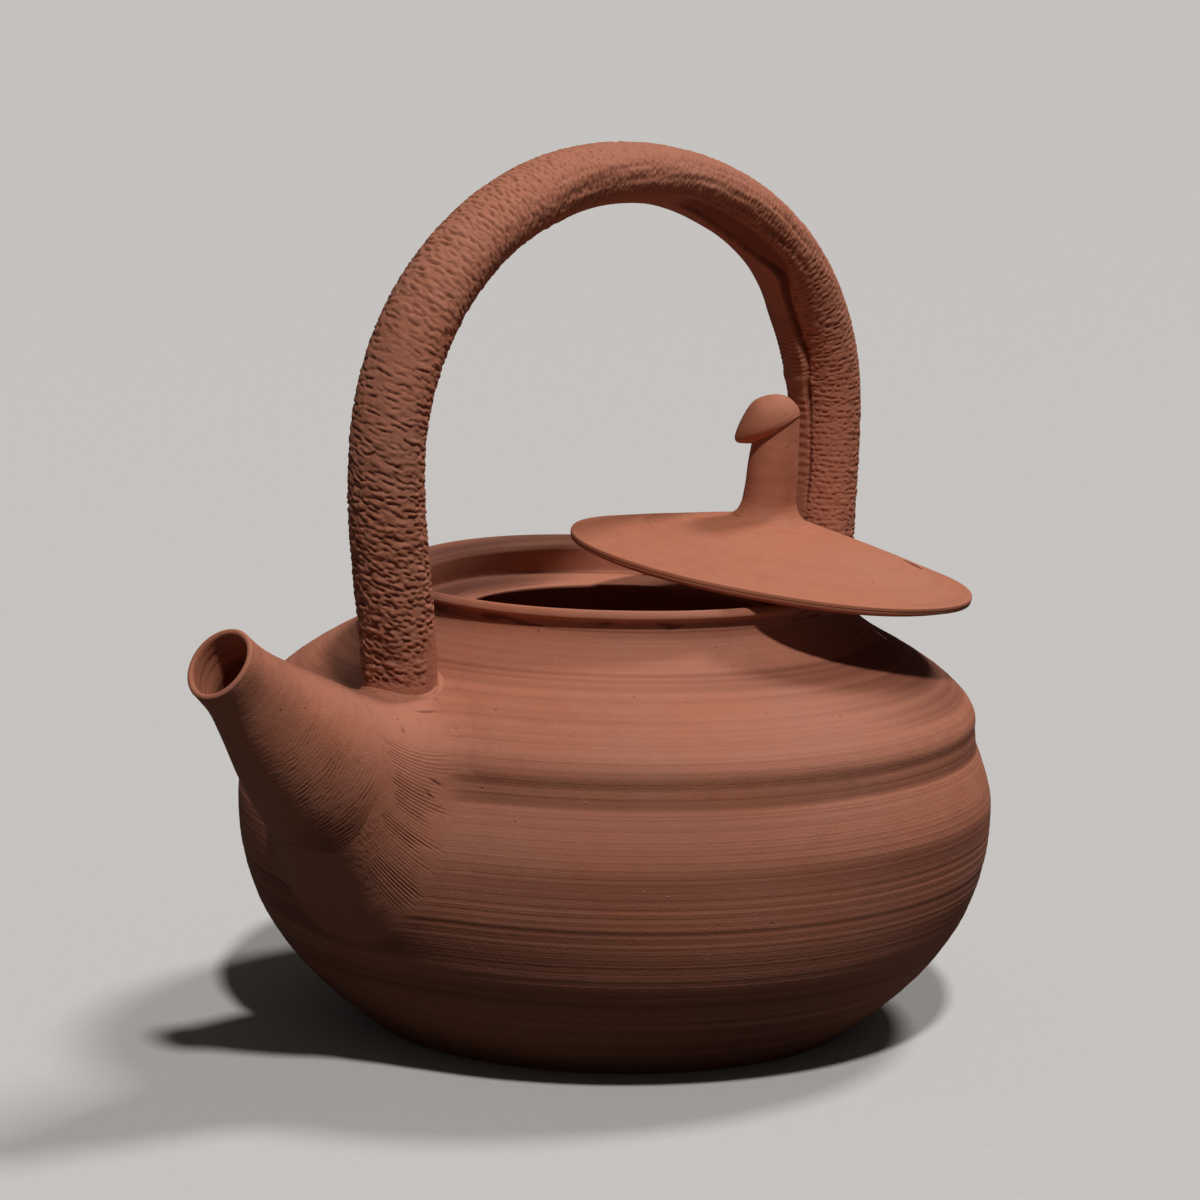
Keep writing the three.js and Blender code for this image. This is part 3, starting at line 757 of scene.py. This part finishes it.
def spout_skin(rows=420):
    """Relief of the spout's outside, in rows from the tip: faint rings, and scratches on its flanks."""
    shape, size = (rows, ROOT_COLUMNS), (rows * SKIN_STEP, TURN * 14)
    along = (np.arange(rows) * SKIN_STEP)[:, None]
    side = from_top(ring_angles(ROOT_COLUMNS))
    worn = smooth(along, 12, 19) * (0.16 + 0.84 * between(side, 72, 96, 150, 172))
    soft = clouds(shape, size, (0.05, (4, 6), 61), (0.008, (0.22, 5), 62))
    rise, slit = scales(shape, size, 0.72, 0.12, 0.28, 1.7, 63)
    return soft + worn * (0.050 * rise - 0.130 * slit)


def spout_tube(turn, along):
    return spout_place(turn, along, spout_radius(along))


def comb_marks(root, turns):
    """Grooves of a comb drawn from the spout out over the pot, side by side round the root."""
    side, past = from_top(turns), root["past"]
    flank = between(side, 58, 68, 134, 148)
    shape, size = (len(turns), 4), (root["whole"], 1)
    phase, strength = ripples(shape, size, 0.60, 0, 0.14, 0.01, 71)
    groove = (hump(np.minimum(phase, 1 - phase), 0, 0.25) * np.clip(strength, 0.45, 1.3))[:, 0]
    ends = cloud(shape, size, (0.5, 0.01), 72)
    first, last = 1.2 * ends[:, 0] - 9.4, 1.6 * ends[:, 2] + 2.6
    return groove * flank * smooth(past, first, first + 1.6) * (1 - smooth(past, last - 2.5, last + 1))


def make_spout():
    turns = ring_angles(ROOT_COLUMNS)
    root = worked_corner(spout_tube, 15, SPOUT_LENGTH, turns, vessel_distance, front_shape, SPOUT_BLEND, 90)
    skin = spout_skin()
    make_root_clay(root, turns, skin)
    make_spout_tube(root, skin)


def make_root_clay(root, turns, skin):
    t, past, side = root["t"], root["past"], from_top(turns)
    shape, size = past.shape, (30, root["whole"])
    combs = comb_marks(root, turns)
    on_pot = smooth(past, 1.5, 6.5)
    on_spout = (1 - smooth(past, -7, -1)) * (1 - combs.clip(0, 1))
    relief = on_spout * sampled(skin, root["along"] / SKIN_STEP, turns / TURN * ROOT_COLUMNS + 0 * past)
    relief += on_pot * on_vessel(THROWN, root["points"]) - 0.19 * combs
    smear = clouds(shape, size, (0.04, (2.2, 4), 73), (0.010, (0.3, 3.5), 74))
    relief += smear * smooth(past, -8, -2) * (1 - on_pot)
    cracks = np.clip(cloud(shape, size, (0.20, 1.1), 75) - 2.4, 0, 1.2) * hump(side, 30, 30)
    cuts = 0.20 * cracks
    for nick_side, nick_past, round_it, across in NICKS:
        arc = (side - nick_side) * root["whole"] / 360
        cuts = np.maximum(cuts, 0.26 * hump(arc - 0.3 * (past - nick_past) / across, 0, round_it)
                          * hump(past, nick_past, across))
    relief -= cuts * smooth(t, 0.05, 0.15) + 0.09 * smooth(t, 0.95, 1.0)
    grid = covered(root, relief)
    # painted shade in the comb grooves and cracks, and the pot's painted shade and highlight where it lies on
    # the pot
    hollow = on_pot * on_vessel(THROWN_PAINTED_SHADE, root["points"]) - (0.13 * combs + cuts) / 0.07
    faces = grid_faces(len(grid), len(turns), True)
    finish_mesh("spout_luting_clay", grid, faces, "pot", ["front_luting"], "luting_clay",
                np.vstack([hollow, 0 * hollow[:1]]), on_pot=np.vstack([on_pot, on_pot[-1:]]), creases=(0, -2))


def lip_lean(along, off, turn):
    """How far the slanting lip moves a ring near the tip along the axis."""
    near = 1 - smooth(along, 0, 14)
    slant = math.tan(LIP_TILT) * (SPOUT_TIP_R - off * np.cos(turn)) - LIP_REACH
    return near * slant + 0.12 * near**4 * np.sin(2 * turn + 1)


def flared(along):
    return spout_radius(along) + LIP_FLARE * (1 - smooth(along, 0, 8))


def make_spout_tube(root, skin):
    turn = ring_angles(SPOUT_COLUMNS)
    start = root["start"][::FINER]
    along = np.linspace(0, 1, 284)[:, None] * (start + 2.0)
    sink = 0.35 * smooth(along, start, start + 1.8)
    marks = sampled(skin, along / SKIN_STEP, turn / TURN * ROOT_COLUMNS + 0 * along)
    relief = marks * smooth(along, 0.3, 3) - sink
    bare = spout_place(turn, along + lip_lean(along, flared(along), turn), flared(along))
    radial = unit(bare - spout_place(turn, along, 0 * along))
    rooted = smooth(along, 14, 17)[..., None]
    joined, normal = settle(bare, front_shape, 6)
    outer = bare + rooted * (joined - bare) + unit(radial + rooted * (normal - radial)) * relief[..., None]

    half, lip_r = LIP_WALL / 2, float(flared(0))
    lip_turn = (np.linspace(-90, 90, 8)[1:-1] * DEG)[:, None]
    lip_off = lip_r - half + half * np.sin(lip_turn) + 0 * turn
    lip_along = half * (1 - np.cos(lip_turn)) * 0.8 - half * 0.8 + 0 * turn
    lip = spout_place(turn, lip_along + lip_lean(0 * lip_along, lip_off, turn), lip_off)

    end = root["start"].max() + 12
    inner_along = np.r_[np.linspace(end, 16, 26), np.arange(15.7, 0.1, -0.3)][:, None]
    wall = np.interp(inner_along, [0, 20, SPOUT_LENGTH], [LIP_WALL, 1.9, 3.0])
    shape, size = (len(inner_along), SPOUT_COLUMNS), (len(inner_along) * 0.4, TURN * 8)
    finger = clouds(shape, size, (0.05, (0.5, 18), 64), (0.05, (1.6, 12), 65))
    finger = finger * smooth(inner_along, 0.3, 2.5)
    inner_off = flared(inner_along) - wall + finger
    inner = spout_place(turn, inner_along + lip_lean(inner_along, inner_off, turn), inner_off)
    grid = np.concatenate([inner, lip, outer])
    # painted shade and highlight on the finger marks inside and the marks outside, and a painted highlight
    # along the lip
    hollow = np.concatenate([finger * 9 - 0.3, np.zeros(lip.shape[:2]) + 0.6, relief / 0.07])
    faces = grid_faces(len(grid), SPOUT_COLUMNS, True)
    finish_mesh("spout_clay_tube", grid, faces, "pot", ["spout"], "spout_clay", hollow)


# Handle

HANDLE_STEP, HANDLE_COLUMNS, HANDLE_GIRTH = 0.2, 160, 45.7
HANDLE_PARTS = (("handle_clay_front", 0, 98), ("handle_clay_top", 98, 190), ("handle_clay_rear", 190, 400))

# Places along the handle in mm from its front foot. Sides are degrees from the inside of the arch
# towards -Y.
MARKS_AT = (0, 30, 44, 64, 82, 104, 130, 165, 200, 235, 280)
MARKS = {
    "pitch": (1.3, 1.3, 1.4, 1.5, 1.45, 1.3, 1.1, 1.1, 1.3, 1.15, 1.0),
    "spacing": (1.7, 1.9, 2.6, 3.0, 2.6, 1.9, 1.4, 1.4, 1.6, 1.4, 1.1),
    "length": (1.7, 2.0, 3.0, 3.6, 3.0, 2.0, 1.2, 1.2, 1.5, 1.3, 1.0),
    "depth": (0.60, 0.58, 0.56, 0.54, 0.48, 0.40, 0.32, 0.32, 0.42, 0.38, 0.30),
    "width": (0.28, 0.26, 0.21, 0.20, 0.20, 0.20, 0.20, 0.20, 0.24, 0.22, 0.20),
    "lip": (0.28, 0.26, 0.22, 0.22, 0.19, 0.16, 0.12, 0.13, 0.20, 0.18, 0.14),
    "slope": (0.35, 0.40, 0.30, 0.22, 0.22, 0.30, 0.40, 0.20, 0.0, 0.0, 0.0),
}
CRACK_SIDE = ((150, 25), (162, 12), (174, -6), (184, -6), (193, 22), (198, 12), (204, 4), (212, 2), (219, 8),
              (226, 0), (242, 6), (270, 0))
CRACK_DEPTH = ((154, 0), (162, 0.9), (190, 1.1), (196, 1.6), (204, 1.1), (216, 1.0), (219, 0.15),
               (224, 0.15), (226, 1.2), (229, 1.2), (232, 0.12), (237, 0.15), (240, 0.6), (246, 0.6),
               (250, 0.12), (270, 0.1))
CRACK_WIDTH = ((160, 0.30), (188, 0.32), (195, 0.60), (204, 0.36), (212, 0.30))
FLAP_RISE = ((150, 0), (170, 0.7), (184, 0.55), (192, 0.5), (199, 0.9), (208, 1.6), (217, 1.3), (227, 0.85),
             (231, 0.3), (237, 0))
SMOOTH_SIDE = ((90, 0), (110, 30), (143, 62), (156, 54), (170, 48), (190, 48), (196, 36), (204, 10), (212, 4),
               (280, 2))


def at_knots(s, knots):
    """Values between knots, with the corners eased."""
    return sum(np.interp(s + step, *zip(*knots)) for step in (-2.4, -1.2, 0, 1.2, 2.4)) / 5


def pressed_marks(whole, rows, seed):
    """What the cloth or bark left that the clay was rolled on: short slits in staggered rows, each under a
    raised lip. Returns how far the lips rise and how deep the slits go."""
    rng = np.random.default_rng(seed)
    rise, slit = np.zeros((rows, HANDLE_COLUMNS)), np.zeros((rows, HANDLE_COLUMNS))
    wide = HANDLE_GIRTH / HANDLE_COLUMNS
    at, odd = 0.5, 0
    while at < whole - 1:
        mark = {key: float(np.interp(at, MARKS_AT, values)) for key, values in MARKS.items()}
        away = 1 if at < 140 else -1
        count = int(HANDLE_GIRTH / mark["spacing"])
        for place in (np.arange(count) + 0.5 * odd + rng.normal(0, 0.24, count)) * mark["spacing"]:
            s0 = at + rng.normal(0, 0.15) * mark["pitch"]
            slope = mark["slope"] + rng.normal(0, 0.11)
            half = mark["length"] / 2 * rng.uniform(0.6, 1.3)
            strength, bend = rng.uniform(0.45, 1.25), rng.normal(0, 0.12)
            reach = int(half / wide) + 1
            row = np.arange(max(int(s0 / HANDLE_STEP) - 9, 0), min(int(s0 / HANDLE_STEP) + 10, rows))
            column = np.arange(int(place / wide) - reach, int(place / wide) + reach + 2)
            aside = column * wide - place
            off = (row * HANDLE_STEP - s0)[:, None] - slope * aside - bend * aside**2
            inside = strength * np.clip(1 - (aside / half) ** 4, 0, 1)
            patch = np.ix_(row, column % HANDLE_COLUMNS)
            above = np.clip(off * away, 0, None)
            lip = mark["lip"] * np.exp(-above / 0.65) * (off * away > -0.15) * inside
            rise[patch] = np.maximum(rise[patch], lip)
            slit[patch] = np.maximum(slit[patch], mark["depth"] * hump(off, 0, mark["width"]) * inside)
        at += mark["pitch"] * rng.uniform(0.88, 1.12)
        odd = 1 - odd
    return rise, slit


def handle_relief(s, side):
    """How far the handle's skin lies off its round section, and how dark it is painted there as shade or
    highlight.
    """
    shape, size = (len(s), HANDLE_COLUMNS), (s[-1, 0], HANDLE_GIRTH)
    crack_side, smooth_side = at_knots(s, CRACK_SIDE), at_knots(s, SMOOTH_SIDE)

    # a slab rolled up: its edge laps over on the inside of the arch and ends in a crack
    inside = smooth(side, -110, -80)
    before_crack = 1 - smooth(side, crack_side - 3, crack_side)
    strip = smooth(side, -125, -80) * before_crack
    flap = at_knots(s, FLAP_RISE) * strip
    ragged = 1 + 0.25 * cloud(shape, size, (0.7, 4), 94)
    across = (side - crack_side - 2) * HANDLE_GIRTH / 360
    crack = at_knots(s, CRACK_DEPTH) * ragged * hump(across, 0, at_knots(s, CRACK_WIDTH))
    hidden = between(s, 148, 158, 194, 202) * smooth(side, crack_side, crack_side + 6)
    hidden = hidden * (1 - smooth(side, smooth_side - 12, smooth_side + 3))

    # the texture, and where the hand wiped it away
    rise, slit = pressed_marks(s[-1, 0], len(s), 81)
    bare = between(side, -110, -75, smooth_side - 5, smooth_side + 2) * smooth(s, 92, 118)
    wedge_side = 48 + 50 * (1 - smooth(s, 14, 21))
    wedge = between(side, -110, -75, wedge_side - 5, wedge_side + 5) * (1 - smooth(s, 19, 23))
    left = (1 - 0.94 * bare) * (1 - 0.95 * wedge) * smooth(s, 6.0, 8.5)
    left = left * (1 - smooth(s, size[0] - 8, size[0] - 5))
    grain = 0.10 - 0.05 * smooth(s, 36, 60)
    pebbles = grain * cloud(shape, size, (0.30, 0.38), 82)
    folds = 0.13 * (between(s, 104, 122, 188, 206) * hump(side, 80, 45)) * cloud(shape, size, (4.5, 0.45), 83)
    texture = left * (rise - slit + pebbles + folds)

    # below the texture, fine ribs, a band and coarser ribs
    fine = 0.10 * np.sin(TURN * s / 1.1 + 1.5 * np.sin(s / 3)) * between(s, 203, 207, 220, 223)
    coarse = 0.08 * np.sin(TURN * s / 1.9 + np.sin(s / 4)) * between(s, 226, 229, 244, 250)
    ribs = (fine + coarse) * inside * before_crack
    band = 0.25 * hump(s, 223.5, 1.3) * inside * (1 - smooth(side, 8, 20))
    flat = 0.30 * hump(side, 0, 28) * smooth(s, 30, 60) * (1 - hidden)
    uneven = 0.09 * cloud(shape, size, (8, 5), 93) - flat

    relief = texture + flap - crack - 0.75 * hidden + ribs + band + uneven - 0.16
    # a patch low on the front leg is painted darker; painted shade goes into the slits, the crack, the ribs'
    # hollows and the hidden zone, and painted highlight onto the lips and the ribs' crests
    darker_patch = hump(side, 158, 24) * hump(s, 14, 6)
    hollow = (texture - 1.2 * crack) / 0.13 + ribs / 0.10 - 2.4 * hidden - 2.0 * darker_patch
    return np.minimum(relief, 0.12 + flap), hollow


def make_handle():
    line = resample(HANDLE_LINE, HANDLE_STEP)
    inward = outward_of(line)
    s = np.linspace(0, lengths_along(HANDLE_LINE)[-1], len(line))[:, None]
    turn = ring_angles(HANDLE_COLUMNS)[None, :]
    side = ((turn + math.pi) % TURN - math.pi) / DEG
    relief, hollow = handle_relief(s, side)
    across = (HANDLE_D / 2 + relief) * np.cos(turn)
    aside = -(HANDLE_W / 2 + relief) * np.sin(turn)
    points = np.stack([line[:, :1] + across * inward[:, :1], aside, line[:, 1:] + across * inward[:, 1:]], -1)
    round_it = HANDLE_GIRTH / TURN
    lay = np.stack([s + 0 * turn, round_it * np.cos(turn) + 0 * s, round_it * np.sin(turn) + 0 * s], -1) * MM
    for name, low, high in HANDLE_PARTS:
        part = slice(int(low / HANDLE_STEP), int(high / HANDLE_STEP) + 1)
        faces = [f[::-1] for f in grid_faces(len(points[part]), HANDLE_COLUMNS)]
        finish_mesh(name, points[part], faces, "pot", ["handle"], "handle_clay", hollow[part],
                    lay=lay[part], creases=(0, -1))


# Clay worked round the handle's feet

def make_foot(name, node, side, host, width, seed):
    columns, rows = 300, 56
    turns = -ring_angles(columns)

    def leg(turn, down):
        z = RIM_Z - down
        return np.stack([leg_x(z, side) + HANDLE_D / 2 * np.cos(turn), HANDLE_W / 2 * np.sin(turn), z], -1)

    def joined(p):
        return blended(host(p), leg_distance(p, side), width)

    foot = worked_corner(leg, 0, 45, turns, host, joined, width, rows)
    t, shape, size = foot["t"], (rows, columns), (2.5 * width, foot["whole"])
    soft = clouds(shape, size, (0.05, (0.9, 1.8), seed), (0.02, (0.3, 0.5), seed + 1))
    cracks = 0.25 * np.clip(cloud(shape, size, (0.20, 1.1), seed + 2) - 1.7, 0, 1.2)
    middle = between(t, 0.05, 0.3, 0.72, 0.95)
    relief = (soft - cracks) * middle - 0.45 * (1 - smooth(t, 0, 0.4)) - 0.25 * smooth(t, 0.7, 1)
    grid = covered(foot, relief)
    # painted shade in the cracks
    hollow = np.concatenate([-cracks * middle / 0.08, np.zeros((1, columns))])
    faces = grid_faces(len(grid), columns, True)
    finish_mesh(name, grid, faces, "pot", [node], "luting_clay", hollow, creases=(0, -2))


# Lid

def lid_frame():
    """The lid's axes as rows, and its middle, where it lies tipped on the rim."""
    outward = np.array([math.cos(LID_BEARING), math.sin(LID_BEARING), 0])
    x = outward * math.cos(LID_TILT) - np.array([0, 0, math.sin(LID_TILT)])
    z = outward * math.sin(LID_TILT) + np.array([0, 0, math.cos(LID_TILT)])
    crossing = (RIM_R**2 - LID_LAND**2 - LAND_SHIFT**2) / (2 * LAND_SHIFT * math.cos(LID_TILT))
    height = RIM_Z + 0.3 + LID_DROP * math.cos(LID_TILT) + crossing * math.sin(LID_TILT)
    return np.array([x, np.cross(z, x), z]), outward * LID_SHIFT + np.array([0, 0, height])


LID_AXES, LID_MIDDLE = lid_frame()


def on_lid(points):
    return points @ LID_AXES + LID_MIDDLE


def lid_top(r):
    return LID_RISE + (LID_EDGE - LID_RISE) * r / LID_R + 0.25 * np.sin(math.pi * np.clip(r / LID_R, 0, 1))


def lid_under(r):
    bowl = LID_LAND**2 * math.tan(LID_TILT) / (2 * LAND_SHIFT * math.cos(LID_TILT))
    return bowl * (1 - (r / LID_LAND) ** 2) - LID_FOOT


def lid_outline():
    """From the middle of the top out over the grooved edge and back below."""
    r = np.linspace(3.0, LID_R - 0.5, 120)
    edge = rounded([(LID_R - 0.5, lid_top(LID_R - 0.5)), (LID_R, LID_EDGE - 0.05), (LID_R, LID_EDGE - 0.66),
                    (LID_R - 0.18, LID_EDGE - 0.76), (LID_R - 0.03, LID_EDGE - 0.90),
                    (LID_R - 0.12, LID_EDGE - 1.40), (LID_FOOT_R, lid_under(LID_FOOT_R))],
                   [0.22, 0.2, 0.08, 0.2, 0.25], 5)
    under = np.linspace(LID_FOOT_R, 3.0, 60)
    hollow = 5 - lid_under(17.0)
    under_z = np.where(under > 17, lid_under(under), lid_under(17.0) + hollow * smooth(17 - under, 0, 17))
    return np.vstack([np.stack([r, lid_top(r)], 1), edge[1:-1], np.stack([under, under_z], 1)])[::-1]


def make_lid():
    profile, columns = lid_outline(), 300
    r = profile[:, :1]
    shape, size = (len(profile), columns), (lengths_along(profile)[-1], TURN * 26)
    relief = clouds(shape, size, (0.006, (0.35, 60), 101), (0.014, (1.6, 90), 102), (0.03, (6, 10), 103))
    relief *= smooth(r, 3, 8)
    grid = revolve(profile, columns, relief)
    phi = ring_angles(columns)
    grid[..., 2] += (0.06 * np.sin(3 * phi + 1) + 0.03 * np.sin(7 * phi)) * smooth(r, 20, LID_R)
    grid[..., 0] += LID_LONGER * np.clip(grid[..., 0] / LID_R, 0, 1) ** 2
    faces = grid_faces(len(profile), columns)
    # painted shade and highlight on the relief, through the hollow values
    pierce(finish_mesh("lid_clay_disc", on_lid(grid), faces, "lid", ["lid"], "lid_clay", relief / 0.05))


def pierce(piece):
    """The vent, a small hole pushed through by hand."""
    count, below, above = 28, -9.0, 12.0
    turn = ring_angles(count)
    ring = np.stack([np.cos(turn), np.sin(turn)], 1) * VENT_SIZE
    c, s = math.cos(VENT_TURN), math.sin(VENT_TURN)
    ring = ring @ np.array([[c, s], [-s, c]]) + VENT_PLACE
    tool = np.vstack([np.c_[ring, np.full(count, height)] for height in (below, above)])
    cutter = add_object("vent_tool", new_mesh("vent_tool", on_lid(tool) * MM, grid_faces(2, count)))
    cut = piece.modifiers.new("vent", "BOOLEAN")
    cut.operation = "DIFFERENCE"
    cut.object = cutter
    cut.solver = "EXACT"
    opened = bpy.data.meshes.new_from_object(piece.evaluated_get(bpy.context.evaluated_depsgraph_get()))
    piece.modifiers.clear()
    piece.data = opened
    bpy.data.objects.remove(cutter)


# Knob

STEM_FOOT = np.array([KNOB_X, 0, LID_RISE])
STEM_AXIS = np.array([-math.sin(KNOB_LEAN), 0, math.cos(KNOB_LEAN)])
STEM_ACROSS = np.array([math.cos(KNOB_LEAN), 0, math.sin(KNOB_LEAN)])
STEM_BLEND = 3.6


def stem_distance(p):
    h, off = from_axis(p, STEM_FOOT, STEM_AXIS)
    return off - stem_radius(h)


def stem_radius(h):
    return 5.3 - 0.15 * smooth(h, 0, 6) - 1.1 * smooth(h, 7, 21) - 1.8 * smooth(h, 18.5, STEM_TOP)


def lid_distance(p):
    r = np.hypot(p[..., 0], p[..., 1])
    return (p[..., 2] - lid_top(r)) * math.cos(math.atan(LID_RISE / LID_R))


def cap_shape(polar, turn):
    """The knob's cap, a rounded head whose nose hangs over the stem towards -X."""
    x, y = np.sin(polar) * np.cos(turn), np.sin(polar) * np.sin(turn)
    z = -np.cos(polar) + 0 * turn
    nose, heel = np.clip(-x, 0, 1), np.clip(x, 0, 1)
    px = CAP_LENGTH * x - 0.4 * heel**2
    py = CAP_BREADTH * y * (1 - 0.20 * nose**2 - 0.18 * heel**2)
    pointed = 1 - 0.62 * (np.sqrt(nose**2 + 0.04) - 0.2) + 0.15 * heel**2
    pz = np.where(z < 0, CAP_BELOW, CAP_HEIGHT * pointed) * z - 0.3 * nose**2
    c, s = math.cos(CAP_TILT), math.sin(CAP_TILT)
    return np.stack([px * c - pz * s + CAP_X, py, px * s + pz * c + CAP_Z], -1)


def make_cap():
    rows, columns = 110, 150
    polar = np.linspace(0.03, math.pi - 0.03, rows)[:, None]
    turn = ring_angles(columns)[None, :]
    points = cap_shape(polar, turn)
    shape, size = (rows, columns), (15, 36)
    relief = clouds(shape, size, (0.08, (2.0, 2.6), 121), (0.015, (0.4, 0.6), 122))
    worked = np.clip(2.2 - np.abs(stem_distance(points)), 0, None) / 2.2 * smooth(-polar, -1.7, -1.1)
    centre = np.array([CAP_X, 0, CAP_Z])
    grow = (relief * np.sin(polar) + 0.40 * worked**2)[..., None]
    points = points + unit(points - centre) * grow
    faces = grid_faces(rows, columns)
    # painted shade and highlight on the relief, through the hollow values
    finish_mesh("knob_cap_clay", on_lid(points), faces, "lid", ["knob_cap"], "knob_clay", relief / 0.3)


def make_stem():
    columns = 130
    turns = ring_angles(columns)

    def tube(turn, down):
        h = STEM_TOP - down
        across, aside = stem_radius(h) * np.cos(turn), stem_radius(h) * np.sin(turn)
        middle = STEM_FOOT + h[..., None] * STEM_AXIS
        return middle + across[..., None] * STEM_ACROSS + aside[..., None] * SIDEWAYS

    def joined(p):
        return blended(lid_distance(p), stem_distance(p), STEM_BLEND)

    foot = worked_corner(tube, 8, 30, -turns, lid_distance, joined, STEM_BLEND, 50)
    down = 0.4 + np.linspace(0, 1, 64)[:-1, None] * (foot["start"] - 0.4)
    stem = tube(-turns + 0 * down, down)
    grid = np.concatenate([stem, foot["points"]])
    normal = np.concatenate([unit(stem - stem.mean(1, keepdims=True)), foot["normal"]])
    shape, size = grid.shape[:2], (26, 33)
    t = np.r_[np.zeros(len(down)), foot["t"][:, 0]][:, None]
    relief = clouds(shape, size, (0.06, (2.2, 3.0), 111), (0.012, (0.35, 1.5), 112))
    cracks = np.clip(cloud(shape, size, (0.20, 1.5), 113) - 1.0, 0, 1.3)
    cracks = 0.20 * between(t, 0.35, 0.6, 0.85, 1) * cracks
    relief = relief - cracks - 0.22 * smooth(t, 0.8, 1)
    grid = np.concatenate([grid + normal * relief[..., None], foot["buried"][None]])
    # painted shade in the cracks
    hollow = np.concatenate([-cracks / 0.06, np.zeros((1, columns))])
    faces = grid_faces(len(grid), columns)
    finish_mesh("knob_stem_clay", on_lid(grid), faces, "lid", ["knob_stem"], "knob_clay", hollow)


# Materials

BODY_TINT, FLECK_COLOR = (0.440, 0.170, 0.106), (0.62, 0.36, 0.26)


def level_lines(nodes, place):
    return drawn_out(nodes, place, (0.0, 0.0, 1.0), 0.0015)


def spout_lines(nodes, place):
    return drawn_out(nodes, place, SPOUT_AXIS, 0.22)


def lid_lines(nodes, place):
    return ringed(nodes, place, LID_MIDDLE * MM, LID_AXES[2], 0.006)


def handle_lines(nodes, place):
    return drawn_out(nodes, nodes.attribute("lay", "Vector"), (1.0, 0.0, 0.0), 0.40)


# The root's clay has the spout's lines where it lies on the spout, and the pot's where it lies on the pot
ALL_OVER, OFF_POT, ON_POT = (1, 1), (1, 0), (0, 1)

clay("body_clay", BODY_TINT, [(level_lines, 0.65, 0.9, ALL_OVER)])
clay("collar_clay", shade(BODY_TINT, 1.03, 1.03, 1.03), [(level_lines, 0.65, 0.5, ALL_OVER)])
clay("spout_clay", BODY_TINT, [(spout_lines, 0.8, 0.5, ALL_OVER)])
clay("luting_clay", BODY_TINT, [(spout_lines, 0.8, 0.5, OFF_POT), (level_lines, 0.65, 0.9, ON_POT)])
clay("handle_clay", shade(BODY_TINT, 1.02, 1.02, 1.02), [(handle_lines, 0.9, 0.3, ALL_OVER)], 0.6, 1.4)
clay("lid_clay", shade(BODY_TINT, 1.08, 1.02, 0.95), [(lid_lines, 0.8, 0.4, ALL_OVER)], 0.6, 0.8)
clay("knob_clay", shade(BODY_TINT, 1.05, 1.0, 0.94), [(level_lines, 0.65, 0.2, ALL_OVER)], 0.6, 0.9)
clay("strainer_clay", shade(BODY_TINT, 0.9, 0.88, 0.86), [(spout_lines, 0.65, 0.3, ALL_OVER)])


# Floor, lamps and camera

def make_floor():
    """A plain pale floor, wide enough to fill the view, and just below the pot's base."""
    spread, count, drop = 40.0, 24, 0.03 * MM
    across = np.linspace(-spread, spread, count)
    x, y = np.meshgrid(across, across, indexing="ij")
    points = np.stack([x, y, 0 * x - drop], -1)
    index = np.arange(count * count).reshape(count, count)
    faces = np.stack([index[:-1, :-1], index[1:, :-1], index[1:, 1:], index[:-1, 1:]], -1).reshape(-1, 4)
    mesh = new_mesh("floor", points, faces.tolist())
    material = bpy.data.materials.new("pale_floor")
    nodes = Nodes(material)
    seen = nodes.add("ShaderNodeLightPath", {}).outputs["Is Camera Ray"]
    pale = nodes.mix(nodes.noise(nodes.object_place(), 420, 3), *FLOOR_SEEN)
    nodes.surface(nodes.mix(seen, FLOOR_LIGHT, pale), 0.9, 0.1)
    mesh.materials.append(material)
    floor = add_object("floor", mesh)


def make_world():
    world = bpy.data.worlds.new("studio")
    world.use_nodes = True
    bpy.context.scene.world = world
    background = world.node_tree.nodes["Background"]
    background.inputs["Color"].default_value = WORLD_COLOR
    background.inputs["Strength"].default_value = WORLD_STRENGTH


def make_lamp(name, strength, softness, azimuth, elevation):
    data = bpy.data.lights.new(name, "SUN")
    data.energy = strength
    data.angle = softness * DEG
    data.color = LAMP_COLOR
    lamp = add_object(name, data)
    a, e = (VIEW_AZIMUTH + azimuth) * DEG, elevation * DEG
    toward = Vector((math.sin(a) * math.cos(e), -math.cos(a) * math.cos(e), math.sin(e)))
    lamp.rotation_mode = "QUATERNION"
    lamp.rotation_quaternion = toward.to_track_quat("Z", "Y")


def make_camera():
    yaw, pitch, roll = VIEW_YAW, VIEW_PITCH, VIEW_ROLL
    look = np.array([math.sin(yaw) * math.cos(pitch), math.cos(yaw) * math.cos(pitch), -math.sin(pitch)])
    level = np.array([math.cos(yaw), -math.sin(yaw), 0])
    upright = np.cross(level, look)
    right = math.cos(roll) * level + math.sin(roll) * upright
    upward = math.cos(roll) * upright - math.sin(roll) * level
    about = Matrix.Rotation(VIEW_AZIMUTH * DEG, 3, "Z")
    axes = Matrix([about @ Vector(v) for v in (right, upward, -look)]).transposed()
    data = bpy.data.cameras.new("camera")
    data.sensor_width = SENSOR
    data.lens = VIEW_LENS
    data.clip_start, data.clip_end = 0.05, 200
    camera = add_object("camera", data)
    place = about @ Vector((0, -VIEW_DISTANCE, VIEW_HEIGHT)) * MM
    camera.matrix_world = Matrix.Translation(place) @ axes.to_4x4()
    bpy.context.scene.camera = camera


make_vessel()
make_collar()
make_spout()
make_handle()
make_foot("front_foot_clay", "front_luting", -1, front_shape, 1.3, 131)
make_foot("rear_foot_clay", "rear_luting", 1, vessel_distance, 3.6, 141)
make_lid()
make_stem()
make_cap()
for material_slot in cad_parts["strainer"].material_slots:
    material_slot.material = CLAYS["strainer_clay"]

make_floor()
make_world()
for lamp_settings in LAMPS:
    make_lamp(*lamp_settings)
make_camera()
bpy.context.scene.view_settings.view_transform = "Standard"
